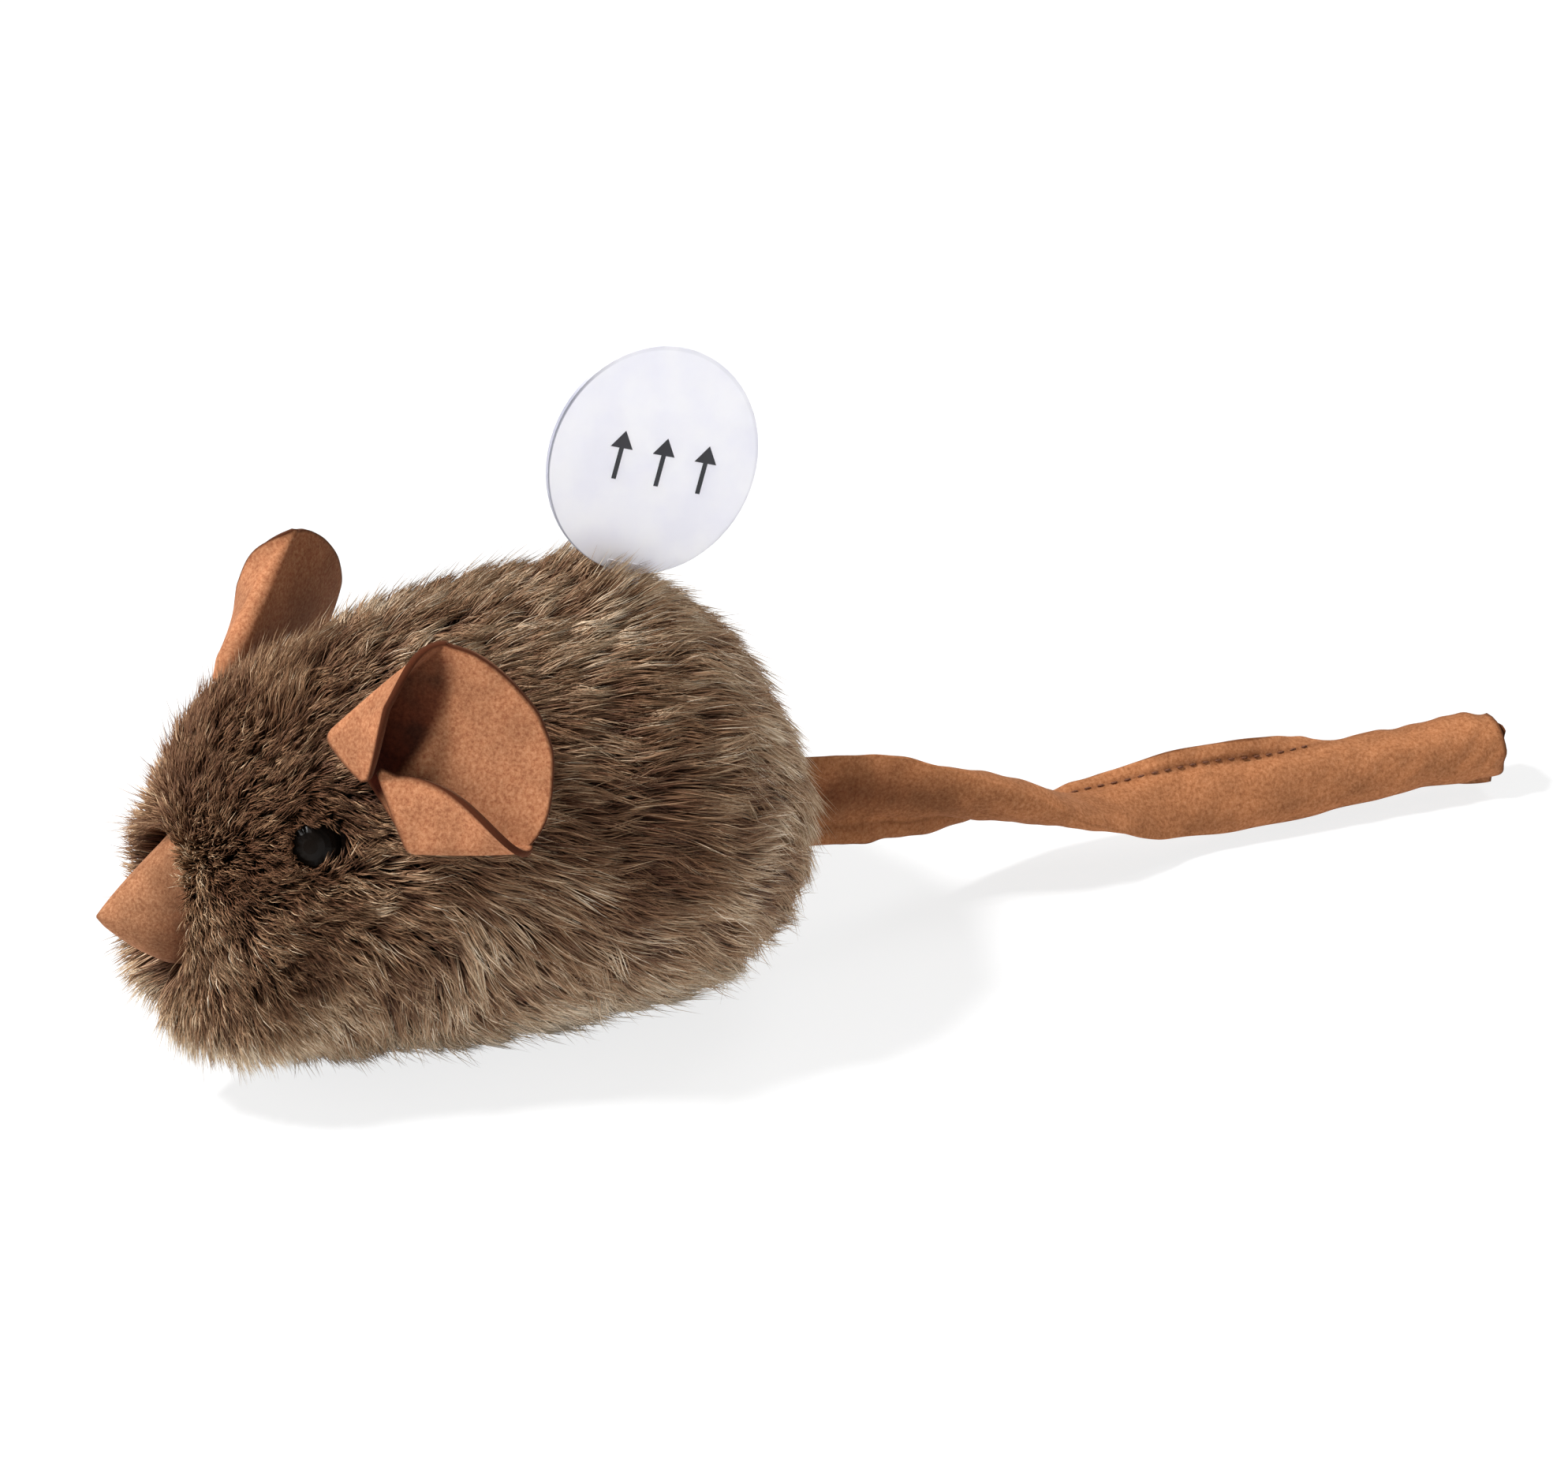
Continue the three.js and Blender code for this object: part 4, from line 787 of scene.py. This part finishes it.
# How wide it is from its foot to its tip, above and below
NOSE_SHARES = np.array([[0, 0.98, 0.98], [0.08, 1, 1], [0.27, 0.83, 0.95], [0.44, 0.66, 0.8],
                        [0.62, 0.47, 0.61], [0.8, 0.27, 0.37], [0.93, 0.11, 0.17], [1, 0.02, 0.02]])
NOSE_FOOT, NOSE_LENGTH = 4.6, 10.6
shape = bmesh.new()
bmesh.ops.create_uvsphere(shape, u_segments=56, v_segments=48, radius=1)
rim, painted_shade_and_wear = edge_and_shade_layers(shape)
front = body_points(0, 0)
bottom = body_points(0, 180)
nose_middle = (front[2] + bottom[2]) / 2
nose_width = body_points(0, 90)[0] * 0.87
nose_height = (front[2] - nose_middle) * 0.89
for vertex in shape.verts:
    place = (1 + vertex.co.z) / 2
    turn = math.atan2(vertex.co.y, vertex.co.x)
    lower = (1 - math.sin(turn)) / 2
    upper_size, lower_size = (smooth_column(NOSE_SHARES, place, column) for column in (1, 2))
    size = float(upper_size * (1 - lower) + lower_size * lower)
    ridge = float(bell(abs(turn) - math.pi / 2, 0.16))
    size *= 1 + 0.035 * ridge * math.sin(math.pi * min(max(place, 0), 1))
    x = nose_width * size * math.cos(turn) * (1 - 0.1 * math.sin(2 * turn) ** 2)
    z = nose_middle - 0.1 * place + nose_height * size * math.sin(turn)
    vertex.co = (x, front[1] + NOSE_FOOT - NOSE_LENGTH * place, z)
    vertex[rim] = min(0.28 * ridge * max(0, 1 - abs(x) / 0.35) + 0.5 * max(0, (place - 0.97) / 0.03), 1)
    # Darker towards its foot and on its underside: partly a dark stain at the foot, partly painted shade; a
    # little darker all over
    vertex[painted_shade_and_wear] = 0.2 + 0.46 * min(max((0.62 - place) / 0.35, 0), 1) * (1 - 0.75 * max(math.sin(turn), 0))
bmesh.ops.recalc_face_normals(shape, faces=shape.faces)
nose = finish_piece("nose_cone", shape, "mouse", nose_suede)
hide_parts("suede_nose")


# Marks on the tab: three arrows that point the way it is drawn

tab_matrix = (Matrix.Translation(Vector(TAB_NECK)) @ Matrix.Rotation(-TAB_LEAN, 4, "X")
              @ Matrix.Rotation(-TAB_TILT, 4, "Y"))
ARROW = [(0.27, -2.6), (0.27, 0.8), (1.35, 0.8), (0, 2.7), (-1.35, 0.8), (-0.27, 0.8), (-0.27, -2.6)]
ARROW_PLACES = (-4.2, 1.0, 6.2)
INK_FACE, INK_THICKNESS = 0.25, 0.04
shape = bmesh.new()
for place in ARROW_PLACES:
    face = shape.faces.new([shape.verts.new((INK_FACE, place + y, TAB_DISC_MIDDLE - 0.1 + z))
                            for y, z in ARROW])
    grown = bmesh.ops.extrude_face_region(shape, geom=[face], use_keep_orig=True)["geom"]
    raised = [item for item in grown if isinstance(item, bmesh.types.BMVert)]
    bmesh.ops.translate(shape, vec=(INK_THICKNESS, 0, 0), verts=raised)
bmesh.ops.transform(shape, matrix=tab_matrix, verts=shape.verts)
bmesh.ops.triangulate(shape, faces=shape.faces)
bmesh.ops.recalc_face_normals(shape, faces=shape.faces)
finish_piece("tab_arrows", shape, "pull_tab", ink, smooth=False)


# Fur

BODY_CENTRE = Vector((0, 0, BODY_HEIGHT / 2))
EYE_PLACE, EYE_ANGLE = 0.171, 60
EYE_POINT = body_points(EYE_PLACE, EYE_ANGLE)
EYE_WAY = body_normals(EYE_PLACE, EYE_ANGLE)
EYE_SQUINT = 1.35
SKIN_DEPTH = 4.4
NOSE_POINT = np.array([0, -37.0, 22.0])
SADDLE_POINT = np.array([21.0, 6.0, 38.0])
STRIP_POINT = body_points(TAB_PLACE, 0)
STRIP_TUFT = body_points(TAB_PLACE - 0.062, 8)
surface = outline_tree()

# Each coat's hairs: their length, how high above the outline they end, how far their tips gather,
# where their colour starts on the head, and the shares of a hair at which it has a ring of points
COATS = {
    "undercoat": dict(count=19000, per_lock=40, per_tuft=7, length=(4.5, 6.5), height=(-2.4, -0.8),
                      fuzz=None, pull=(0.25, 0.55), start=0.42, width=0.24, shares=(0.0, 0.5),
                      material=undercoat, zones=("front", "rear")),
    "pile": dict(count=41000, per_lock=70, per_tuft=11, length=(5.5, 9.5), height=(-1.3, 0.3),
                 fuzz=(0.4, 2.0), pull=(0.45, 0.88), start=0.24, width=0.17, shares=(0.0, 0.36, 0.7),
                 material=pile, zones=("head", "shoulder", "flank", "rump")),
}
# How the pile beside the nose differs on the two sides, and where its waves start
SIDES = {
    "left": dict(mirror=1, shorter=0.4, higher=0.3, lean=0.07, seed=0),
    "right": dict(mirror=-1, shorter=0.65, higher=1, lean=0.3, seed=40),
}


def comb(points, normals, swerve):
    """The way the pile lies: from the nose back and down the flanks, spreading from the nose and
    around the eye and parting along the seam, each hair turned by its own swerve."""
    height = np.clip((44 - points[:, 2]) / 32, 0, 1)
    fall = -(0.12 + 0.95 * soft_step(height)) * (1 - 0.95 * soft_step((-points[:, 1] - 18) / 12))
    way = unit(np.stack([np.clip(points[:, 0] / 60, 0, 0.12), np.ones(len(points)), fall], 1))
    from_nose = points - NOSE_POINT
    near = np.clip(1.1 - np.linalg.norm(from_nose, axis=1) / 24, 0, 1)[:, None]
    spread = unit(unit(from_nose * np.array([1, 1, 0.5])) + np.array([0, 0.4, 0]))
    way = unit(way * (1 - near) + spread * near)
    part = front_seam(points) * bell(points[:, 0], 2.5)
    way = unit(way + np.outer(part * 1.3, np.array([1, 0, 0])))
    close = nearness(points, EYE_POINT, 4.2)[:, None]
    way = unit(way - 0.9 * close * unit(points - EYE_POINT))
    way = unit(way - normals * np.sum(way * normals, 1, keepdims=True))
    sideways = np.cross(normals, way)
    return unit(way * np.cos(swerve)[:, None] + sideways * np.sin(swerve)[:, None])


def vary(groups, spread):
    """A random amount for each group of hairs, which all of its hairs share."""
    return rng.normal(0, spread, len(groups))[groups]


def nearest(points, others):
    """For each point, which of the others is nearest, and how far away it is."""
    tree = KDTree(len(others))
    for index, other in enumerate(others):
        tree.insert(Vector(other), index)
    tree.balance()
    found = [tree.find(Vector(point)) for point in points]
    return np.array([index for _, index, _ in found]), np.array([distance for _, _, distance in found])


def gather(points, number):
    """Chooses centres among the points, and gives each point its nearest centre."""
    centres = rng.choice(len(points), number, replace=False)
    return centres[nearest(points, points[centres])[0]]


def waves(points, size, seed):
    """Smooth noise between -1 and 1 over the body, with patches of this size."""
    made = np.zeros(len(points))
    local = np.random.default_rng(seed)
    for _ in range(5):
        way = unit(local.normal(size=3))
        made += np.sin(points @ way * (2 * np.pi / (size * local.uniform(0.7, 1.4))) + local.uniform(0, 6.3))
    return made / 3


def scatter(count):
    """Random places and angles on the left half of the body, even but closer on the face."""
    place_steps, angle_steps, half_turn = 160, 90, 180.0
    place = (np.arange(place_steps) + 0.5) / place_steps
    angle = half_turn * (np.arange(angle_steps) + 0.5) / angle_steps
    place, angle = (grid.ravel() for grid in np.meshgrid(place, angle, indexing="ij"))
    steps = body_steps(place, angle, 0.5 / place_steps, half_turn / angle_steps / 2)
    area = np.linalg.norm(np.cross(*steps), axis=-1) * (1 + 0.9 * soft_step((0.3 - place) / 0.2))
    cell = np.minimum(np.searchsorted(np.cumsum(area) / area.sum(), rng.random(count)), len(area) - 1)
    places = place[cell] + (rng.random(count) - 0.5) / place_steps
    angles = angle[cell] + (rng.random(count) - 0.5) * half_turn / angle_steps
    return np.clip(places, 0.001, 0.999), angles


def settle(points, heights):
    """Moves points along the body's surface normal to these heights above the fur's outline."""
    moved = points.copy()
    for index, (point, height) in enumerate(zip(points, heights)):
        found, normal, _, _ = surface.find_nearest(Vector(point))
        outward = normal if normal.dot(found - BODY_CENTRE) > 0 else -normal
        moved[index] = np.array(found + outward * height)
    return moved


def off_eye(points, stretch=1.0):
    """How far points are from the line on which the eye looks out."""
    gap = points - EYE_POINT
    return np.linalg.norm((gap - EYE_WAY * (gap @ EYE_WAY)[:, None]) * (1, stretch, 1), axis=1)


def plant(coat):
    """Where the hairs stand on one side, their locks and tufts, and what each of them is close to."""
    count = coat["count"]
    place, angle = scatter(count)
    outline = body_points(place, angle)
    normals = body_normals(place, angle)
    full = fullness(outline)
    roots = body_points(place, angle, SKIN_DEPTH) + normals * (full * 0.7)[:, None]
    outline = outline + normals * full[:, None]
    x, y, z = outline.T
    return SimpleNamespace(
        count=count, place=place, outline=outline, normals=normals, full=full, roots=roots,
        lock=gather(roots, count // coat["per_lock"]), tuft=gather(roots, count // coat["per_tuft"]),
        head=soft_step((-y - 10) / 18), rear=soft_step(y / 15) * soft_step((z - 14) / 10),
        seam=front_seam(outline) * bell(x, 1.3), strip=nearness(outline, STRIP_TUFT, 4.3),
        eye_gap=np.linalg.norm(outline - EYE_POINT, axis=1),
        by_nose=np.exp(-((x / 8) ** 4 + ((z - nose_middle) / 11) ** 4)) * (y < -26))


def hair_swerves(fur, seed):
    """How far each hair turns off the combed way, in radians: by patch, lock, tuft and hair."""
    swerve = 0.24 * waves(fur.outline, 14, 3 + seed) + 0.16 * waves(fur.outline, 6, 8 + seed)
    swerve = swerve + vary(fur.lock, 1) * (0.26 - 0.12 * fur.head) + vary(fur.tuft, 0.16)
    return swerve + rng.normal(0, 0.1, fur.count)


def hair_lengths(fur, coat, shorter):
    length = rng.uniform(*coat["length"], fur.count)
    length = length * (1 - 0.32 * fur.head) * rng.uniform(0.8, 1.2, fur.count)[fur.lock]
    length = length * (1 - 0.4 * fur.strip) * (1 - 0.3 * bell(fur.eye_gap, 4.6, 4))
    return length * (1 - shorter * fur.by_nose)


def tip_heights(fur, coat, loose, higher):
    """How far the tips end above the body's outline."""
    _, y, z = fur.outline.T
    height = rng.uniform(*coat["height"], fur.count)
    if coat["fuzz"]:
        height = height + np.where(loose, rng.uniform(*coat["fuzz"], fur.count), 0)
    height = height + (vary(fur.lock, 0.38) + vary(fur.tuft, 0.25)) * (1 - 0.5 * fur.head)
    below = soft_step((15 - z) / 9) * soft_step((y + 24) / 10)
    height = height - 0.45 * soft_step((y + 28) / 12) + 0.3 * fur.rear - 0.5 * below
    height = height - 0.8 * fur.seam + fur.full
    height = height + fur.strip * rng.uniform(2.7, 5.0, fur.count) + 0.7 * bell(fur.eye_gap, 4.4, 4)
    return height + fur.by_nose * rng.uniform(0, 1.6, fur.count) * higher


def gathered_tips(fur, coat, tips, loose, lean):
    """Draws the tips together into tufts and locks, and on to the nose beside it."""
    pull = rng.uniform(*coat["pull"], fur.count)
    pull = np.where(loose, 0.1, pull * (1 - 0.6 * fur.head))[:, None]
    tips = tips * (1 - pull) + tips[fur.tuft] * pull
    draw = np.where(loose, 0.05, 0.2 * (1 - 0.5 * fur.head))[:, None]
    tips = tips * (1 - draw) + tips[fur.lock] * draw
    lean = lean * fur.by_nose
    return tips + (np.array([0, 0, nose_middle]) - tips) * np.array([1, 0, 1]) * lean[:, None]


def kept_hairs(fur, bends, tips):
    """Which hairs stay: none grows in or over the eye, or in the nose, the tail or the slot."""
    x, y, z = fur.outline.T
    middle = 0.25 * fur.roots + 0.5 * bends + 0.25 * tips
    over_eye = np.minimum.reduce([off_eye(part, EYE_SQUINT) for part in (tips, middle, (middle + tips) / 2)])
    by_eye = fur.eye_gap < 16
    gone = by_eye & (off_eye(fur.outline) < 2.6)
    gone |= by_eye & (over_eye < 2.2) & (rng.random(fur.count) > 0.012)
    gone |= ((x / 4.8) ** 2 + ((z - nose_middle) / 7.0) ** 2 < 1) & (y < -33)
    gone |= (np.abs(x) < 1.7) & (np.abs(z - TAIL_ROOT_HEIGHT) < 5.8) & (y > 30)
    gone |= (np.abs(x) < 0.6) & (np.abs(y - STRIP_POINT[1]) < 2.8) & (z > 40)
    return ~gone


def hair_tints(fur):
    """Each hair's shade, from dark to pale: by place, by patch, and by tuft, lock and hair."""
    z = fur.outline[:, 2]
    # Paler on top and near the floor: painted light, for the light from above and off the floor
    top = soft_step((z - 34) / 14)
    low = soft_step((19 - z) / 14)
    saddle = nearness(fur.outline, SADDLE_POINT, 12.0)
    brow = fur.head * soft_step((z - 24) / 10)
    tint = (0.46 + 0.08 * top + 0.46 * low - 0.2 * fur.head - 0.26 * brow - 0.34 * saddle
            + 0.05 * fur.rear)
    tint = tint + 0.15 * waves(fur.outline, 10, 33) + 0.09 * waves(fur.outline, 22, 51)
    tint = (tint + 0.34 * (rng.random(fur.count)[fur.tuft] - 0.5)
            + 0.22 * (rng.random(fur.count)[fur.lock] - 0.5))
    tint = tint + rng.normal(0, 0.13, fur.count) - 0.18 * bell(fur.eye_gap, 4.5) - 0.35 * fur.seam
    tint = tint + np.where(rng.random(fur.count) > 0.93, 0.35, 0)
    return np.clip(tint, 0.01, 0.985)


def grow(coat, side):
    """Root, bend and tip of each hair of one side, its shade, its thickness and where its colour
    starts, all combed and gathered in locks and tufts."""
    fur = plant(coat)
    outline, roots = fur.outline, fur.roots
    way = comb(outline, fur.normals, hair_swerves(fur, side["seed"]))
    length = hair_lengths(fur, coat, side["shorter"])
    tips = outline + way * (length * 0.87)[:, None]
    loose = rng.random(fur.count) > 0.88
    height = tip_heights(fur, coat, loose, side["higher"])
    tips = gathered_tips(fur, coat, tips, loose, side["lean"])
    start = 0.55 * fur.by_nose + 0.3 * bell(fur.eye_gap, 6) + coat["start"] * fur.head
    mirror = np.array([side["mirror"], 1, 1])
    # Under an ear the pile lies flat
    ears = ear_points * mirror
    reach = np.minimum(nearest(tips, ears)[1], nearest(outline, ears)[1] + 0.8)
    pressed = np.clip(1.6 - reach / 2.4, 0, 1)
    height = height - pressed * np.clip(height + 1.6, 0, 9)
    # Around the eye it is trimmed to the eye's rim
    for _ in range(9):
        inside = (fur.eye_gap < 16) & (off_eye(tips, EYE_SQUINT) < 2.4)
        tips = np.where(inside[:, None], tips - 0.12 * (tips - outline), tips)
    tips = settle(tips, height)
    bends = roots + fur.normals * (SKIN_DEPTH * 0.62) + (tips - roots) * 0.2
    bends = bends + np.cross(fur.normals, way) * (rng.normal(0, 0.06, fur.count) * length)[:, None]
    keep = kept_hairs(fur, bends, tips)
    # No hair reaches under the floor
    for part in (roots, bends, tips):
        part[:, 2] = np.maximum(part[:, 2], 0.12 + 0.25 * rng.random(fur.count))
    shades = hair_tints(fur), np.where(loose, 0.6, 1.0), np.clip(start, 0, 0.6), fur.place
    return [part[keep] * mirror for part in (roots, bends, tips)] + [part[keep] for part in shades]


MAP_STRIP = 1.6 / 1024


def hair_mesh(name, hairs, width, shares, material):
    """One mesh of three-sided hairs, closed at both ends, with a map of shade and place."""
    roots, bends, tips, tint, thin, start = hairs
    count, rings = len(roots), len(shares)
    s = np.array(shares)[None, :, None]
    line = (1 - s) ** 2 * roots[:, None] + 2 * s * (1 - s) * bends[:, None] + s ** 2 * tips[:, None]
    forward = unit(2 * (1 - s) * (bends - roots)[:, None] + 2 * s * (tips - bends)[:, None])
    side = unit(np.cross(forward, np.array([0.31, 0.17, 0.93])))
    lift = np.cross(side, forward)
    radius = (width / 2) * thin[:, None, None] * (1 - 0.55 * s ** 1.5)
    radius = radius * (0.8 + 0.4 * rng.random(count))[:, None, None]
    corners = [line + radius * (side * math.cos(turn) + lift * math.sin(turn))
               for turn in np.radians([90, 210, 330])]
    verts = np.concatenate([np.stack(corners, 2).reshape(count, rings * 3, 3), tips[:, None]], 1)
    per_hair = rings * 3 + 1
    # The corners of one hair's faces: which point, how far across the map and how far along the hair
    faces = [[(0, 0, 0.0), (2, 2, 0.0), (1, 1, 0.006)]]
    for k, then in ((0, 1), (1, 2), (2, 0)):
        for first, (low, high) in zip(range(0, rings * 3, 3), zip(shares, shares[1:])):
            faces.append([(first + k, k, low), (first + then, k + 1, low),
                          (first + then + 3, k + 1, high), (first + k + 3, k, high)])
        last = rings * 3 - 3
        faces.append([(last + k, k, shares[-1]), (last + then, k + 1, shares[-1]), (rings * 3, k, 1.0)])
    corner, across, along = np.array([spot for face in faces for spot in reversed(face)]).T
    loop_index = np.add.outer(np.arange(count) * per_hair, corner.astype(int)).ravel()
    shade_map = np.add.outer(tint, (across - 1.5) * MAP_STRIP)
    place_map = start[:, None] + np.outer(1 - start, along)
    loop_map = np.stack([shade_map, place_map], 2)
    face_sizes = np.tile([len(face) for face in faces], count)
    starts = np.concatenate([[0], np.cumsum(face_sizes)[:-1]])
    data = bpy.data.meshes.new(name)
    data.vertices.add(count * per_hair)
    data.vertices.foreach_set("co", (verts.reshape(-1, 3) * MM).astype(np.float32).ravel())
    data.loops.add(len(loop_index))
    data.loops.foreach_set("vertex_index", loop_index.astype(np.int32))
    data.polygons.add(len(starts))
    data.polygons.foreach_set("loop_start", starts.astype(np.int32))
    data.polygons.foreach_set("use_smooth", np.ones(len(starts), bool))
    layer = data.uv_layers.new(name="OFBake")
    layer.data.foreach_set("uv", loop_map.astype(np.float32).ravel())
    data.update(calc_edges=True)
    data.validate()
    data.materials.append(material)
    piece = in_scene(name, data)
    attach(piece, "mouse")


for side_name, side in SIDES.items():
    for coat_name, coat in COATS.items():
        *hairs, place = grow(coat, side)
        chunks = np.array_split(np.argsort(place), len(coat["zones"]))
        for zone, chunk in zip(coat["zones"], chunks):
            hair_mesh(f"{coat_name}_{side_name}_{zone}", [part[chunk] for part in hairs],
                      coat["width"], coat["shares"], coat["material"])

# The loose ends of the seam's thread under the nose: where they start, bow and stop
THREAD_ENDS = np.array([[[0.2, -33.4, 6.6], [0.2, -33.4, 6.6]],
                        [[0.4, -35.4, 8.2], [-0.1, -35.2, 6.8]],
                        [[1.6, -35.2, 9.8], [-1.2, -36.0, 7.4]]])
THREAD_WIDTH = 0.26
hair_mesh("front_seam_thread", [*THREAD_ENDS, np.array([0.5, 0.6]), np.ones(2), np.zeros(2)],
          THREAD_WIDTH, (0.0, 0.15, 0.3, 0.45, 0.6, 0.75, 0.9), pale_thread)


# CAD nodes that stay: only their materials change

FINISHES = [
    (button, ["left_eye", "right_eye"]),
    (nylon, ["left_eye_washer", "right_eye_washer"]),
    (film, ["battery_isolator_tab"]),
    (housing, ["module_base", "module_lid"]),
    (plated, ["lid_screw_1", "lid_screw_2", "lid_screw_3"]),
    (nickel, ["button_cell_1", "button_cell_2", "button_cell_3"]),
    (spring_steel, ["plus_contact", "minus_contact", "shake_switch_spring"]),
    (brass, ["sounder_brass", "shake_switch_can", "shake_switch_pin"]),
    (ceramic, ["sounder_ceramic"]),
    (board, ["circuit_board"]),
    (resin, ["sound_chip", "shake_switch_plug"]),
    (red_cover, ["sounder_wire_red"]),
    (black_cover, ["sounder_wire_black", "cell_wire"]),
]
for finish, node_names in FINISHES:
    for node_name in node_names:
        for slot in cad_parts[node_name].material_slots:
            slot.material = finish


# Floor, light and camera, with the floor's sizes in metres: it fades into the white around it

FLOOR_HALF = 1.5
FADE_FROM, FADE_TO = 0.2, 0.5
floor_data = bpy.data.meshes.new("floor")
shape = bmesh.new()
bmesh.ops.create_grid(shape, x_segments=1, y_segments=1, size=FLOOR_HALF)
shape.to_mesh(floor_data)
shape.free()
floor = in_scene("floor", floor_data)
paper, tree, place = patterned("white paper backdrop")
diffuse = add(tree, "BsdfDiffuse", {"Color": linear("#f2f2f2"), "Roughness": 0.5})
glow = add(tree, "Emission", {"Color": (1, 1, 1, 1), "Strength": 1.0})
seen = add(tree, "LightPath")
away = add(tree, "VectorMath", {0: place}, operation="LENGTH")
fade = add(tree, "MapRange", {0: away.outputs["Value"], 1: FADE_FROM, 2: FADE_TO, 3: 0.8, 4: 1.0})
share = add(tree, "Math", {0: seen.outputs["Is Camera Ray"], 1: fade.outputs[0]}, operation="MULTIPLY")
both = add(tree, "MixShader", {0: share.outputs[0], 1: diffuse.outputs[0], 2: glow.outputs[0]})
add(tree, "OutputMaterial", {"Surface": both.outputs[0]})
floor_data.materials.append(paper)

right = np.array([math.cos(CAMERA_TURN), math.sin(CAMERA_TURN), 0])
level = np.array([-math.sin(CAMERA_TURN), math.cos(CAMERA_TURN), 0])
up = level * math.sin(CAMERA_RISE) + np.array([0, 0, math.cos(CAMERA_RISE)])
back = np.cross(right, up)
camera_data = bpy.data.cameras.new("camera")
camera_data.sensor_fit = "HORIZONTAL"
camera_data.sensor_width = SENSOR_WIDTH
camera_data.lens = PIXELS_PER_MM * CAMERA_REACH / PICTURE_WIDTH * SENSOR_WIDTH
camera_data.clip_start = 0.01
camera = in_scene("camera", camera_data)
place = (CAMERA_AIM + back * CAMERA_REACH) * MM
camera.matrix_world = Matrix([*np.column_stack([right, up, back, place]).tolist(), [0, 0, 0, 1]])
bpy.context.scene.camera = camera


def area_light(name, way, reach, size, power):
    """A round lamp that looks at the toy: its way from it, its reach and size in metres, its watts."""
    data = bpy.data.lights.new(name, "AREA")
    data.shape = "DISK"
    data.size = size
    data.energy = power
    way = Vector(way).normalized()
    turn = way.to_track_quat("Z", "Y").to_matrix().to_4x4()
    in_scene(name, data).matrix_world = Matrix.Translation(Vector(CAMERA_AIM) * MM + way * reach) @ turn


area_light("key", (-0.05, -0.62, 0.86), 0.9, 0.12, 13)
area_light("front", (-0.05, -0.95, 0.26), 1.0, 0.7, 5.5)
area_light("fill", (0.9, -0.1, 0.2), 1.0, 0.6, 1.2)
area_light("top", (-0.2, 0.6, 1.0), 1.0, 0.6, 3.8)

world = bpy.data.worlds.new("studio")
world.use_nodes = True
tree = world.node_tree
tree.nodes.clear()
seen = add(tree, "LightPath")
bright = add(tree, "Math", {0: seen.outputs["Is Camera Ray"], 1: seen.outputs["Is Transmission Ray"]},
             operation="MAXIMUM")
room = add(tree, "Background", {"Color": (1, 0.99, 0.98, 1), "Strength": 0.27})
white = add(tree, "Background", {"Color": (1, 1, 1, 1), "Strength": 1.0})
both = add(tree, "MixShader", {0: bright.outputs[0], 1: room.outputs[0], 2: white.outputs[0]})
add(tree, "OutputWorld", {"Surface": both.outputs[0]})
bpy.context.scene.world = world
bpy.context.scene.view_settings.view_transform = "Standard"
